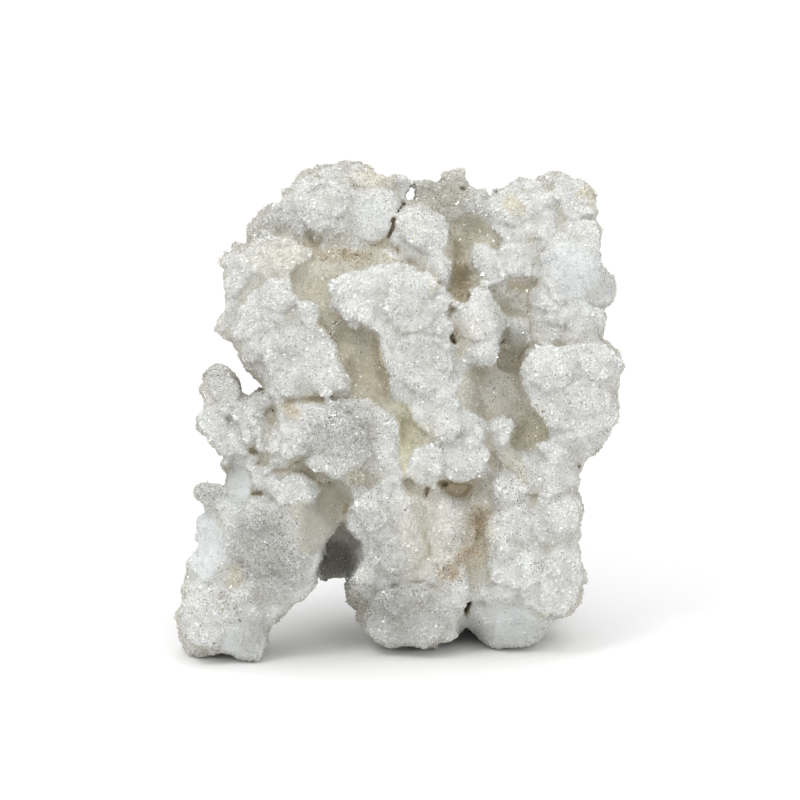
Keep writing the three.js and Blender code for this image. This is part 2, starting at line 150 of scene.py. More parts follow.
# The masses of the front. A lump is an ellipsoid: x, height, depth, its half axes and, where it is
# turned on the face, by how many degrees. The outline is the mass's edge as it looks from the front.
# "grow" and "relief" are given where they differ from GROW and from 1.
MASSES = {
    "crown": {
        "grow": 0.5,
        "lumps": [
            (-19, 99, 2, 12.5, 9.2, 10), (-10, 99, 4, 12, 10.5, 10), (-13, 105, 0, 12, 8.3, 9),
            (-20.5, 104.9, -2, 8.5, 6.6, 8), (-28.5, 97, -1, 7, 6, 8), (-6, 99.5, 8, 7.5, 8, 7),
            (-1.5, 108, -1, 5, 2.8, 5), (-22.5, 105.3, -4, 4.5, 3.8, 6), (-33, 95.5, -4, 4, 3.8, 6),
            (-28.5, 99.5, -3, 5, 4, 7), (-10, 111, 0, 5, 2.4, 5),
        ],
        "outline": [
            (-36.7, 93.8), (-36.2, 96.5), (-36, 98.4), (-34.3, 100.1), (-32.9, 101.5), (-31.4, 102.7),
            (-30.5, 104.2), (-29.5, 103.9), (-28.1, 104.2), (-27.8, 105.6), (-27.4, 107.3),
            (-25.9, 108.5), (-25.4, 109.9), (-24.2, 110.6), (-22.6, 110.9), (-21.1, 111.8),
            (-19.2, 112.3), (-17, 112.6), (-15.8, 113.3), (-14.2, 113.5), (-12.2, 114.2), (-10.6, 114),
            (-9.1, 114.5), (-8.4, 113.5), (-7, 111.8), (-4.8, 111.1), (-3.4, 110.2), (-1, 109.9),
            (1.2, 109.7), (2.6, 109), (1.2, 107), (0.5, 105.8), (-0.2, 104.4), (-0.5, 102.7),
            (-1.2, 101.3), (-1.9, 99.8), (-2.2, 98.4), (-2.6, 97), (-2.9, 95.8), (-1.9, 94.1),
            (-0.5, 91.7), (-2.4, 91.2), (-7.2, 91.7), (-12, 91.7), (-16.8, 91.7), (-20.6, 92.2),
            (-24, 92.4), (-28.8, 93.4), (-33.1, 94.1),
        ],
    },
    "crest": {
        "lumps": [
            (4, 106.8, -4, 3, 2.5, 4), (8.5, 107, -6, 5.5, 3.5, 5), (13, 109.6, -6, 3.6, 3.2, 4),
            (6, 104, -5, 7, 4.5, 6), (15.5, 104.5, -5, 5, 3.5, 6), (12, 101.5, -4, 8, 6, 7),
            (18, 103.5, 0, 3.5, 3, 4), (17, 95.5, -6, 8, 8, 7), (17, 88.5, -7, 5, 10, 7),
        ],
        "outline": [
            (3.1, 108.5), (3.6, 109.4), (4.8, 109), (7.2, 109.4), (8.4, 109), (9.6, 109.9),
            (10.3, 111.1), (11.8, 111.4), (13.2, 111.8), (14.4, 111.8), (14.6, 110.4), (15.8, 109.2),
            (14.9, 107.8), (14.4, 106.8), (16.1, 107.5), (17.8, 107.3), (19.2, 106.8), (20.2, 107.5),
            (21.6, 107), (24, 101.5), (24, 94.3), (19.7, 90.2), (19.2, 81.1), (12, 79.9), (9.6, 90.7),
            (7.2, 101.8), (4.8, 103.4), (1, 103.2), (0.7, 105.1), (2.4, 105.8), (4.1, 106.3),
        ],
    },
    "crown_right": {
        "lumps": [
            (30, 98.5, 6, 10, 9.5, 9), (38.5, 98.5, 6, 8.5, 9.5, 9), (31, 93, 9, 8.5, 7.5, 8),
            (38.5, 90.5, 12, 9, 9, 9), (42.5, 89.5, 9, 5.5, 8.5, 8), (26.5, 90.5, 11, 6, 5.5, 6),
            (21.8, 90, 10, 5, 6.2, 6), (23, 85.5, 9, 4, 4.5, 5), (28.5, 105.3, 2, 5.5, 3.6, 7),
            (31, 107.8, 0, 4.5, 2.4, 5), (37, 108, 1, 5.8, 3.7, 7), (41, 106.2, -1, 3.8, 3.2, 6),
            (42, 103.8, 1, 3.6, 5.4, 7), (42.6, 97, 3, 4.5, 6, 8),
        ],
        "outline": [
            (19.2, 106.8), (20.6, 107.5), (21.8, 107), (23, 107.5), (25, 107.5), (26.4, 109),
            (27.1, 109.7), (28.8, 109.9), (30.5, 109.7), (32.6, 109), (33.8, 109.7), (35, 109.7),
            (35.5, 111.1), (37.2, 111.4), (38.9, 111.1), (40.3, 110.2), (41.5, 109), (43.2, 109.2),
            (44.6, 108), (45.8, 106.3), (46.1, 104.4), (46.6, 102.2), (45.8, 100.8), (46.6, 98.6),
            (47.8, 97), (48, 95.5), (47.3, 93.4), (47.3, 91.7), (47, 89.3), (45.8, 86.6), (44.9, 84),
            (43.2, 81.4), (39.6, 81.4), (36, 82.8), (33.1, 84.7), (31.4, 86.2), (30.5, 85.4),
            (28.3, 85.7), (25.9, 86.2), (24, 86.6), (23.3, 85.2), (21.6, 83.5), (20.2, 83.5),
            (19.2, 84.5), (17.8, 86.9), (17, 88.8), (16.8, 91.2), (17.3, 93.1), (18.2, 94.6),
            (19.7, 94.8), (21.4, 93.8), (23, 93.4), (24, 95.3), (22.6, 96.2), (21.4, 97.7), (21.1, 99.8),
            (19.9, 101.3), (19.2, 103.4), (18.7, 105.6),
        ],
    },
    "rear_right": {
        "lumps": [
            (46.2, 88, -5, 3.2, 5, 6), (49.2, 83.5, -6, 3.2, 4.8, 6), (47.5, 80.5, -3, 3.5, 2.5, 5),
        ],
        "outline": [
            (45.6, 93.1), (47.3, 91.2), (48, 90.2), (49, 88.1), (49.9, 86.6), (50.9, 85.7), (51.4, 84),
            (51.4, 82.8), (50.4, 80.9), (48.7, 79.4), (47.8, 79), (45.6, 79.7), (42.7, 80.2),
            (43.2, 85.9),
        ],
    },
    "shoulder": {
        "lumps": [
            (-28, 89, 10, 9, 7.5, 7), (-23.5, 92, 11, 3.5, 4, 5), (-33, 84, 8, 8, 8, 7),
            (-38, 89, 4, 4.2, 4.5, 6), (-38.5, 84.3, 4, 4, 4.3, 6), (-36, 92, 2, 3.8, 3, 5),
            (-35.2, 78.5, 8, 5.2, 6, 8), (-40.3, 75, 6, 3.7, 3.5, 5), (-35.5, 73.5, 8, 4.5, 4.8, 7),
        ],
        "outline": [
            (-39.4, 95.3), (-37.7, 94.8), (-36.5, 94.1), (-36, 95.5), (-33.1, 96), (-30, 95.5),
            (-26.4, 95.5), (-24.7, 94.6), (-22.8, 94.1), (-21.6, 93.1), (-21.1, 91.7), (-22.1, 90.2),
            (-24, 89.8), (-25.7, 88.6), (-26.2, 87.1), (-25.7, 85.2), (-24.7, 83.5), (-26.4, 78.7),
            (-31.2, 73.9), (-37.2, 68.6), (-38.2, 68.6), (-39.4, 69.6), (-39.8, 70.8), (-41, 71.5),
            (-42.7, 73), (-43.7, 73.9), (-43.4, 75.6), (-42.2, 76.8), (-42, 77.8), (-40.6, 78.2),
            (-40.6, 80.4), (-41, 81.4), (-41.3, 82.8), (-41.8, 84.2), (-42.2, 85.9), (-42.2, 87.6),
            (-41.3, 88.6), (-41.5, 89.3), (-42.7, 90), (-42.7, 91.4), (-42, 92.9), (-40.8, 93.1),
            (-40.6, 94.3),
        ],
    },
    "arm": {
        "lumps": [
            (-27.5, 76, 15, 10, 9, 7.5), (-30, 81, 12, 7, 5, 6), (-24, 69, 18, 9.5, 9, 7.5),
            (-31.2, 68, 14, 6.2, 7, 7), (-20, 64, 20, 8, 7.5, 7), (-26, 62.5, 19, 6.5, 5.5, 7),
            (-22.5, 78, 17, 4, 4, 6), (-18.5, 71.5, 20, 4, 4.5, 5), (-16, 66, 21, 3.5, 4, 5),
            (-14, 60.5, 21, 3.5, 4, 4.5), (-20.5, 59.5, 20, 6.5, 4.5, 6),
        ],
        "outline": [
            (-26.2, 86.9), (-25.7, 85.2), (-24, 83.5), (-23.3, 81.8), (-22.1, 81.1), (-20.4, 80.4),
            (-19.4, 79.2), (-19.2, 77.3), (-19, 75.1), (-17.8, 73.9), (-16.6, 72.5), (-15.4, 70.6),
            (-14.9, 69.1), (-14.9, 67.4), (-14.4, 66.5), (-13, 64.8), (-12.2, 63.4), (-11.5, 62.2),
            (-11.8, 60.5), (-12.2, 58.1), (-14.4, 56.2), (-18, 56.6), (-22.1, 57.1), (-24, 56.9),
            (-27.6, 56.9), (-29, 57.1), (-30.7, 57.8), (-32.6, 60.2), (-34.6, 61.7), (-37, 64.6),
            (-37.7, 66.5), (-37.9, 68.6), (-38.9, 71.5), (-38.9, 76.3), (-37.2, 81.1), (-33.1, 85),
            (-31.7, 85.4), (-28.8, 86.2),
        ],
    },
    "broken_face": {
        "relief": 0.15,
        "lumps": [
            (-14, 84, 12, 12, 8, 5), (-14, 84, 6, 11, 7.5, 8), (-12.5, 90.3, 10.5, 8.5, 1.8, 4),
            (-12, 74, 8.5, 8, 13, 8, 35), (-5.5, 64, 13, 6, 7.5, 8, 30), (-9, 69, 10, 6, 8, 8, 30),
        ],
        "outline": [
            (-21.1, 91.7), (-20.6, 92.9), (-18.7, 93.1), (-16.3, 93.4), (-13.2, 93.1), (-9.6, 93.1),
            (-6, 92.9), (-3.8, 92.2), (-1.9, 91.4), (0, 90.2), (0, 83.5), (0, 71.5), (0.5, 61.9),
            (1.9, 56.2), (-1.2, 54.7), (-4.8, 55.4), (-8.4, 56.6), (-12, 57.6), (-15.6, 61.9),
            (-19.2, 69.1), (-24, 76.3), (-26.4, 82.3), (-26.6, 85.2), (-26.4, 87.8), (-25, 89.3),
            (-22.8, 90.2),
        ],
    },
    "tongue": {
        "lumps": [
            (-3, 91, 13, 5, 4, 5), (-1, 83, 19, 11, 7, 7), (1, 76, 23, 11, 9, 8), (4, 68, 25, 9.5, 9, 8),
            (7, 60, 25.5, 8.5, 9, 8), (10, 53, 24.5, 8, 8, 8), (-9, 81.5, 20, 6.5, 5.5, 5.5),
            (-9.5, 77.5, 21, 4.5, 3.5, 4.5), (-5, 73, 23, 5, 5, 6), (-2.5, 67.5, 25, 4, 5, 6),
            (0, 61, 25, 4.5, 5, 6), (2.5, 55, 25, 4, 5, 5), (8, 82, 19, 4, 4, 5),
            (9, 76, 22, 4.5, 6, 5.5), (11.5, 69, 22, 4.5, 5, 5), (13, 65, 22, 3.6, 5, 5),
            (12, 58.5, 23, 4.5, 4.5, 5), (11, 46, 23, 11, 8, 7.5), (6.5, 44, 24, 5.5, 5.5, 6),
            (14.5, 44.5, 24, 7, 6, 6.5), (18.5, 43, 21.5, 4, 4.5, 5), (17.5, 49, 20, 5, 6, 6),
        ],
        "outline": [
            (-16.8, 85.7), (-13.2, 88.8), (-9.6, 90.2), (-4.8, 91.7), (-0.5, 91.2), (1, 89.3),
            (4.8, 86.9), (9.6, 83.5), (12, 81.1), (12.5, 73.9), (12, 72), (13, 70.3), (13.4, 68.9),
            (13.2, 67.9), (14.4, 67.2), (15.4, 65.8), (15.8, 64.1), (15.1, 62.2), (14.4, 60.2),
            (13.4, 58.3), (14.6, 56.9), (15.8, 55.2), (17, 54.5), (19.2, 52.8), (20.4, 51.4), (19.9, 49),
            (19, 46.6), (19.9, 44.4), (20.4, 42.5), (19.4, 40.3), (18, 38.2), (15.8, 37), (13.4, 37.4),
            (11.5, 37.9), (9.6, 37.4), (7.2, 37.7), (4.8, 37.9), (3.1, 38.9), (2.2, 41.3), (1.7, 43.9),
            (2.6, 45.6), (4.3, 46.6), (6.2, 46.8), (8.2, 46.1), (9.6, 47.5), (7.2, 49.7), (4.8, 51.8),
            (2.6, 54), (0.7, 55.9), (-1.2, 57.4), (-2.4, 58.6), (-2.4, 60.5), (-3.4, 61.9), (-2.9, 63.4),
            (-3.8, 65), (-4.6, 67.2), (-5, 69.6), (-5.5, 72), (-6, 73.7), (-7.9, 74.4), (-9.4, 76.1),
            (-10.8, 74.4), (-13.2, 74.2), (-13.9, 75.8), (-14.9, 77.8), (-16.6, 78.7), (-16.6, 81.1),
            (-17.3, 83),
        ],
    },
    "finger": {
        "lumps": [
            (4.6, 98.5, 10, 5.8, 5, 6), (6, 92, 12.5, 7, 9, 6.5), (2, 95.5, 11, 4, 6, 5),
            (9.3, 94, 11, 3.5, 4, 4), (8, 87.5, 14, 5.6, 6, 6.5), (10, 88.5, 13, 3.8, 5, 5),
            (9, 83, 16, 4, 4, 5),
        ],
        "outline": [
            (0.5, 102.7), (1.4, 103.4), (3.1, 103.2), (4.8, 103.4), (6.2, 103), (7.2, 102), (8.9, 100.8),
            (9.8, 100.1), (11, 98.6), (11.8, 97.2), (12, 95.5), (12.2, 94.1), (11.3, 92.9), (10.6, 91.7),
            (12, 91.2), (13, 90.5), (13.2, 88.3), (12.5, 86.4), (12.2, 84.5), (12, 82.8), (11, 80.6),
            (7.7, 81.1), (3.6, 84.7), (1.9, 87.8), (1.2, 90.2), (0, 91.2), (-0.5, 92.6), (-1.7, 94.1),
            (-2.2, 95.5), (-1.4, 96.5), (-0.7, 97.9), (-1, 99.1), (-0.5, 100.1), (-0.7, 101.3),
            (0, 102.2),
        ],
    },
    "lobe": {
        "lumps": [
            (18.5, 75, 21, 6.6, 7.8, 6.5), (19.5, 70, 20, 5.4, 5.5, 6), (18.3, 80, 20, 5.4, 4.8, 6),
            (21.5, 76, 15, 3.4, 6, 6),
        ],
        "outline": [
            (15.8, 83.5), (18, 84), (19.9, 83.5), (21.1, 82.1), (22.1, 80.4), (23.8, 78.5), (25.4, 77),
            (25.4, 75.4), (24, 73.7), (24, 71.5), (23.3, 70.3), (23.5, 68.6), (23, 66.5), (21.6, 64.8),
            (19.2, 64.6), (16.8, 65), (15.1, 66.2), (13.2, 67.4), (11.5, 70.3), (10.6, 76.3), (11, 81.1),
            (13.2, 80.9), (14.9, 80.6), (16.3, 81.6),
        ],
    },
    "small_ball": {
        "lumps": [
            (27.5, 73.5, 13, 4.4, 5.4, 5), (27, 70, 9, 4.5, 5, 5),
        ],
        "outline": [
            (24.7, 72.7), (25.4, 74.9), (26.6, 76.1), (28.8, 76.3), (30.7, 75.6), (31.7, 73.9),
            (31.7, 71), (31.2, 69.1), (29.8, 67.9), (27.6, 67.7), (25.9, 68.6), (25, 70.3),
        ],
    },
    "beige_lumps": {
        "lumps": [
            (23.5, 82, 14, 4.6, 4.4, 5), (27.3, 79.3, 13.5, 4.8, 4.2, 5),
        ],
    },
    "right_lumps": {
        "lumps": [
            (38, 78, 12, 8, 6.5, 7), (35.5, 79, 14, 5.5, 6.5, 6.5), (42, 77, 11, 5.5, 6, 7),
            (45.6, 75, 9, 3.3, 5, 6), (33.5, 75, 13, 3.5, 4, 5), (39.5, 72, 9, 7, 4, 7),
        ],
        "outline": [
            (30.5, 83.8), (31.4, 85), (33.6, 85.4), (37.2, 84), (40.8, 81.8), (44.4, 81.1), (47.8, 79.2),
            (49, 77), (49.2, 74.9), (48.7, 72.7), (47.8, 71.3), (49.9, 70.8), (49.2, 69.1), (45.6, 68.6),
            (42, 68.6), (38.9, 68.6), (37.7, 71.5), (34.8, 72), (33.1, 72.5), (31.9, 73.2), (31.4, 74.9),
            (31, 76.6), (30, 78.2), (29.8, 80.4), (30, 82.1),
        ],
    },
    "big_ball": {
        "lumps": [
            (39.5, 61, 19, 10.5, 10, 10), (41, 54, 18, 9.5, 8.5, 9), (45.6, 63.5, 16, 6.4, 6.5, 8),
            (33.5, 64.5, 20, 5.5, 5.5, 7), (44.2, 55.3, 17, 6.1, 7.2, 8), (40.5, 48.8, 15, 6, 5, 7),
            (36, 47.5, 15, 7.5, 6, 7), (48.5, 69, 10, 3, 2.5, 4),
        ],
        "outline": [
            (31.2, 69.4), (33.1, 69.8), (35, 69.1), (37.4, 69.4), (39.6, 69.1), (43.2, 69.8),
            (46.1, 70.3), (48, 70.8), (49.9, 70.8), (49.4, 69.4), (50.9, 69.1), (51.6, 67.2),
            (52.8, 66.7), (53.3, 64.8), (52.8, 63.1), (52.3, 61.2), (51.4, 59.8), (51.4, 58.3),
            (51.8, 56.6), (51.8, 54.2), (51.6, 52.6), (50.2, 50.9), (49.7, 49.7), (49.2, 47.5),
            (48, 45.8), (46.8, 44.6), (45.1, 43), (43.2, 41.3), (41.8, 39.4), (38.4, 37.9), (34.8, 40.3),
            (34.8, 47.5), (35.8, 49.9), (34.8, 51.6), (33.6, 53.3), (31.9, 54.7), (30.7, 56.4),
            (30.2, 58.1), (29.8, 59.5), (29, 61.4), (28.6, 63.1), (28.6, 64.8), (29, 66.7), (30.2, 67.9),
        ],
    },
    "recess_lumps": {
        "lumps": [
            (22, 60, 12.5, 9.5, 7.5, 7), (17, 58.5, 16, 4.5, 5, 5), (26, 62.5, 10, 5, 8, 7),
        ],
    },
    "low_ball": {
        "lumps": [
            (24.2, 49.2, 20.5, 4.1, 4.7, 4.6), (24.5, 46, 15, 4, 5, 6),
        ],
        "outline": [
            (21.1, 52.3), (22.3, 53), (24, 53.5), (25.9, 52.8), (27.1, 51.6), (27.6, 49.9), (27.4, 47.5),
            (26.6, 45.6), (25.7, 44.2), (24, 43.4), (22.1, 44.2), (20.9, 45.6), (20.4, 47.5),
            (20.4, 49.9),
        ],
    },
    "valley": {
        "lumps": [
            (31, 51, 8, 7, 9, 7),
        ],
    },
    "right_leg": {
        "lumps": [
            (31, 32, 15, 11.5, 13, 9), (30, 18, 13.5, 12, 11, 9.5), (29, 36, 17, 8, 7, 7),
            (36.3, 38, 15, 5.5, 7, 8), (24, 38, 14, 5, 5.5, 6), (35.5, 30, 17, 7.5, 9, 8),
            (27.5, 27, 18, 8, 9, 8), (37.6, 20, 15, 5.2, 8.5, 8), (29, 19, 18, 8.5, 8.5, 8.5),
            (37.2, 12.3, 13, 6.8, 6.2, 7), (32.5, 12, 16, 7.5, 6.5, 8), (23.5, 14, 14, 6, 7, 7),
            (25.3, 6, 8, 9.7, 8.4, 9.5),
        ],
        "outline": [
            (28.3, 44.6), (29.5, 46.3), (31.4, 47.3), (34.8, 47.5), (38.4, 47.5), (41.8, 39.4),
            (42.2, 36), (42.5, 33.1), (43, 29.5), (42.7, 25.9), (42.7, 22.3), (43.2, 19.9), (43.7, 17.5),
            (43.9, 15.1), (43.4, 12.7), (43, 10.6), (42.2, 8.4), (40.8, 6.5), (39.4, 5.5), (37.4, 5.5),
            (36, 5.8), (35.8, 3.8), (34.3, 1.4), (32.4, -0.5), (30, -1.4), (27.8, -1.9), (25.2, -1.9),
            (23.3, -2.4), (22.1, -1.7), (19.7, -0.7), (18.5, 0.7), (16.8, 2.2), (15.8, 3.8), (15.8, 7.7),
            (16.8, 9.1), (18.7, 11.5), (19.4, 13.9), (20.2, 18.7), (20.6, 23.5), (21.1, 28.3),
            (21.4, 31.9), (20.6, 34.3), (20.9, 36.7), (21.4, 39.4), (23.3, 40.8), (25.2, 42.2),
            (26.9, 43.2),
        ],
    },
    "middle_leg": {
        "lumps": [
            (-2, 30, 18.5, 10, 10, 8), (-1, 19, 17.5, 10.5, 10, 8), (-5, 33, 21, 7, 6, 6.5),
            (-9.5, 28.5, 19, 4, 4, 5), (-3, 25, 21, 7.5, 7, 7), (-3, 19.5, 19, 6.5, 6, 7),
            (9, 26, 15.5, 9, 10, 8), (5, 33, 16, 6, 6.5, 6.5), (9.5, 17, 15, 9, 8, 8),
            (17.5, 22, 11, 5.5, 13, 8), (2.5, 8.5, 11, 11.5, 10.5, 9), (-7.5, 13, 9, 5.2, 5.5, 8),
            (10, 8, 11, 6.3, 9, 8), (16, 7.5, 4, 3, 5, 8), (-6, 15, 16, 3.5, 3.5, 5),
        ],
        "outline": [
            (-9.6, 43.9), (-4.8, 43.9), (-0.5, 42.2), (1.2, 40.3), (3.6, 39.4), (7.2, 38.4), (9.8, 37.2),
            (11.8, 35.8), (12.5, 34.3), (14.4, 33.4), (16.3, 32.4), (17.3, 30.7), (18, 28.8),
            (18.7, 25.9), (18, 22.3), (16.8, 18.7), (16.8, 15.1), (16.3, 11.5), (15.8, 9.1), (16.1, 6.7),
            (15.8, 3.4), (15.1, 1.7), (13.4, 0.2), (11.5, -0.7), (9.1, -1), (9.1, -1.7), (8.2, -2.2),
            (6.5, -2.4), (4.8, -1.7), (2.4, -1.4), (0.5, -1.2), (-1.2, -1.7), (-2.9, -1.7), (-4.8, -0.7),
            (-6.5, 0.7), (-7.7, 1.9), (-8.2, 3.1), (-9.1, 4.1), (-10.3, 5.8), (-11.5, 8.2), (-12, 11.5),
            (-12.7, 14.2), (-10.1, 14.9), (-9.4, 16.8), (-8.6, 18.5), (-9.4, 20.6), (-9.6, 23.5),
            (-10.8, 24.2), (-12, 25.2), (-13.4, 26.9), (-13.7, 29.3), (-13.2, 31), (-11.5, 31.9),
            (-11.5, 33.8), (-12.7, 35.3), (-13.2, 39.1),
        ],
    },
    "left_branch": {
        "grow": 1.6,
        "lumps": [
            (-43.5, 60.8, 12, 2.5, 3.3, 3), (-41.8, 57.5, 13, 4, 4.4, 4.5), (-37, 55.8, 14, 6, 3.6, 5),
            (-42.4, 49.6, 18, 4.4, 7.6, 5.2, 42), (-38.5, 47.3, 15.5, 5.5, 4.8, 5.5),
            (-40.5, 45.5, 16, 4.3, 3.3, 5), (-41, 43, 15, 3.2, 2.2, 2.8), (-33, 50.5, 15.5, 8, 6.5, 6.5),
            (-34.3, 50.6, 21, 2.9, 6.5, 4.6, 38), (-27, 51.5, 19, 7, 6.5, 6.5), (-21, 52, 22, 7, 6.5, 6.5),
            (-28, 45, 16.5, 8, 5.5, 6), (-27.6, 43.2, 21, 5, 3.3, 4.6, 20), (-34.5, 42, 15, 5.5, 4.5, 5),
            (-32.4, 38.4, 19, 5.2, 3, 4.2), (-31.5, 39, 16, 5.5, 4.5, 5), (-36.3, 34.2, 14, 1.8, 2.8, 2.2),
            (-24.6, 36.4, 21.5, 5.2, 4.2, 4.6), (-27.3, 34, 20, 2.6, 3, 3), (-21.3, 34.5, 20, 2.4, 3, 3),
        ],
        "outline": [
            (-45.1, 65.3), (-44.2, 65.8), (-43, 65), (-41.5, 63.4), (-40.3, 62.2), (-39.4, 61.2),
            (-38.4, 59.5), (-37.9, 58.6), (-36, 58.6), (-33.8, 59), (-32.2, 57.6), (-31, 56.6),
            (-28.1, 56.2), (-25.2, 54.7), (-22.8, 49.9), (-21.1, 45.1), (-19.7, 41.8), (-18.7, 39.1),
            (-18.5, 36.2), (-19.2, 34.1), (-20.4, 33.1), (-21.1, 32.2), (-22.3, 32.4), (-23.5, 33.1),
            (-24.7, 33.4), (-25.7, 32.2), (-26.6, 30.7), (-27.8, 31.2), (-29, 32.4), (-29.8, 33.8),
            (-30.5, 35.5), (-33.1, 35.3), (-36, 35.3), (-36.7, 36.7), (-37.4, 38.6), (-37.7, 40.3),
            (-38.4, 41), (-39.4, 41.3), (-40.3, 40.6), (-41.5, 40.1), (-41.8, 41), (-43, 41.3),
            (-42.7, 42.5), (-41.3, 43.4), (-43, 45.1), (-44.2, 46.6), (-45.6, 47.3), (-45.8, 48.5),
            (-47.3, 49.4), (-48, 50.6), (-47.8, 52.6), (-46.8, 53.8), (-46.1, 55), (-46.1, 56.9),
            (-46.3, 58.6), (-47, 59.5), (-47, 61.4), (-46.8, 62.9), (-45.6, 63.8),
        ],
    },
    "smooth_fin": {
        "lumps": [
            (-38.2, 37.5, 6, 2.8, 5, 5),
        ],
        "outline": [
            (-40.1, 41), (-38.4, 40.6), (-37.7, 38.9), (-37, 36.5), (-36, 35), (-35.5, 33.1),
            (-36, 31.7), (-37, 32.9), (-37.7, 33.6), (-38.9, 33.1), (-40.3, 34.1), (-41.8, 35.3),
            (-41.3, 37.4), (-40.6, 39.4),
        ],
    },
    "ledge": {
        "lumps": [
            (-14.5, 50, 23.5, 11, 8.5, 7.5), (-12, 45, 25, 9, 6.5, 7), (-20, 46.5, 24.5, 5, 4, 5),
            (-15.5, 41, 25, 4.5, 4, 4.5), (-10.5, 37.5, 24, 4, 4, 4.5), (-9.5, 57, 20, 8, 5, 6),
            (-3.5, 50.5, 21, 5, 8, 6), (-6, 41.5, 23, 7, 7, 6.5), (0.5, 48, 17, 4, 10, 6),
            (-20, 34, 12, 6.5, 10, 7),
        ],
        "outline": [
            (-28.1, 55.9), (-24, 56.6), (-19.2, 57.1), (-14.4, 56.6), (-11.5, 57.6), (-8.4, 57.8),
            (-5.3, 57.6), (-2.9, 56.6), (-1, 54.7), (-0.2, 52.3), (0, 48.7), (0, 45.1), (0.2, 43.7),
            (-0.5, 42), (-0.2, 40.3), (1.2, 38.6), (2.9, 37.2), (3.4, 34.3), (3.4, 30.7), (0, 28.3),
            (-7.2, 30.7), (-11.5, 31.9), (-11.5, 33.8), (-12.7, 35.3), (-14.4, 36.2), (-16.1, 37),
            (-16.6, 38.6), (-18, 40.3), (-19.7, 42), (-21.6, 43.4), (-24, 45.8), (-25.9, 48.5),
            (-27.6, 51.1),
        ],
    },
    "left_leg": {
        "grow": 2.2,
        "lumps": [
            (-44.8, 34.3, 22, 2.8, 2.6, 3.5), (-40.2, 32.5, 21, 4, 3.4, 5),
            (-33, 22, 18.5, 13.5, 12, 8.5), (-35, 28, 22, 7.5, 6, 6.5), (-27.5, 27, 22, 8, 7, 6.5),
            (-22.5, 23, 20, 5, 8, 7), (-43.2, 25, 16, 4.6, 7, 6), (-43.8, 15.5, 17, 5.8, 7, 7),
            (-31, 16, 21, 9.5, 7.5, 7.5), (-41, 9.5, 19, 9.2, 8, 8), (-46.6, 4, 14, 5.4, 8, 6),
            (-36.4, 3, 17, 5.5, 8, 6), (-41.5, 6.3, 17, 8, 7.5, 7), (-33, 9, 18, 6.3, 5.3, 7),
            (-25, 14, 18, 5.5, 5.5, 7), (-24.5, 13, 9, 4.5, 5, 8), (-19.6, 31, 14, 5.4, 7, 7),
        ],
        "outline": [
            (-46.6, 36.5), (-43.7, 36.2), (-42.7, 35.5), (-39.8, 33.6), (-37.2, 33.1), (-33.1, 32.4),
            (-28.8, 31.2), (-25.2, 31.9), (-21.6, 33.1), (-18, 35.5), (-16.1, 36.2), (-14.6, 33.8),
            (-13.9, 31.2), (-14.6, 28.6), (-16.1, 25.9), (-17.5, 25), (-18, 23.3), (-19, 21.1),
            (-19.4, 18.7), (-20.4, 16.3), (-21.1, 14.4), (-22.3, 12.2), (-25.4, 9.1), (-28.1, 6.2),
            (-30.7, 3.8), (-32.2, 2.4), (-31.9, -0.5), (-32.9, -2.9), (-33.8, -5), (-36, -5.3),
            (-38.9, -4.3), (-40.3, -3.4), (-43.4, -2.9), (-46.1, -4.1), (-47.5, -4.6), (-49.4, -3.8),
            (-50.6, -3.4), (-51.8, -1.7), (-52.8, 0.2), (-53, 3.8), (-52.6, 6.2), (-51.6, 7.9),
            (-51.6, 11.5), (-50.9, 14.2), (-50.2, 17), (-49.7, 19.2), (-47.8, 21.4), (-48.2, 23.3),
            (-48, 26.6), (-47.3, 28.3), (-45.1, 29.8), (-46.1, 31.9), (-47.5, 33.4), (-48.2, 35),
            (-47.8, 36),
        ],
    },
}
# Lumps of the core behind them.
CORE_LUMPS = [
    (-22, 97, -9, 11, 9.5, 11), (-8, 101, -7, 9, 8, 9), (3, 96, -14, 12, 11, 10),
    (20, 99, -10, 9, 7, 8), (36, 98, -7, 10, 9, 10), (28, 91, -16, 10, 9, 8),
    (-34, 84, -6, 7, 10, 9), (-27, 79, -16, 10, 9, 9), (-12, 85, -20, 12, 13, 9),
    (8, 83, -21, 10, 9, 8), (22, 76, -21, 12, 11, 9), (40, 82, -9, 8, 12, 10),
    (-24, 65, -12, 9, 9, 11), (-14, 67, -22, 10, 8, 8), (-3, 61, -25, 13, 14, 9),
    (14, 61, -21, 8, 9, 9), (29, 60, -19, 13, 13, 11), (42, 60, -2, 6, 11, 10),
    (-22, 46, -9, 9, 9, 11), (-12, 40, -19, 12, 12, 10), (8, 42, -24, 12, 12, 9),
    (22, 38, -19, 9, 9, 10), (33, 38, -10, 8, 13, 12), (14, 28, -21, 9, 9, 9),
    (4, 18, -17, 9, 13, 9), (27, 16, -16, 12, 15, 12), (17, 8, -15, 7, 9, 9),
    (-37, 18, 9, 9, 13, 10), (2, 80, -11, 34, 24, 15), (2, 52, -12, 29, 26, 17),
    (16, 27, -9, 21, 21, 15), (-14, 86, -3, 23, 19, 13), (4, 62, -2, 24, 25, 19),
    (-4, 76, 8, 12, 14, 13), (14, 52, 8, 12, 12, 14), (-22, 62, 3, 10, 20, 14),
    (-16, 46, 12, 16, 10, 12), (34, 72, -1, 15, 26, 14), (33, 94, -3, 13, 12, 12),
    (40, 54, 6, 9, 12, 14), (30, 27, 1, 12, 27, 16), (4, 25, 2, 11, 26, 16),
    (-35, 21, 13, 11, 19, 11), (-15, 30.5, -8, 12, 17, 13), (14, 77, 7, 9, 9, 10),
]
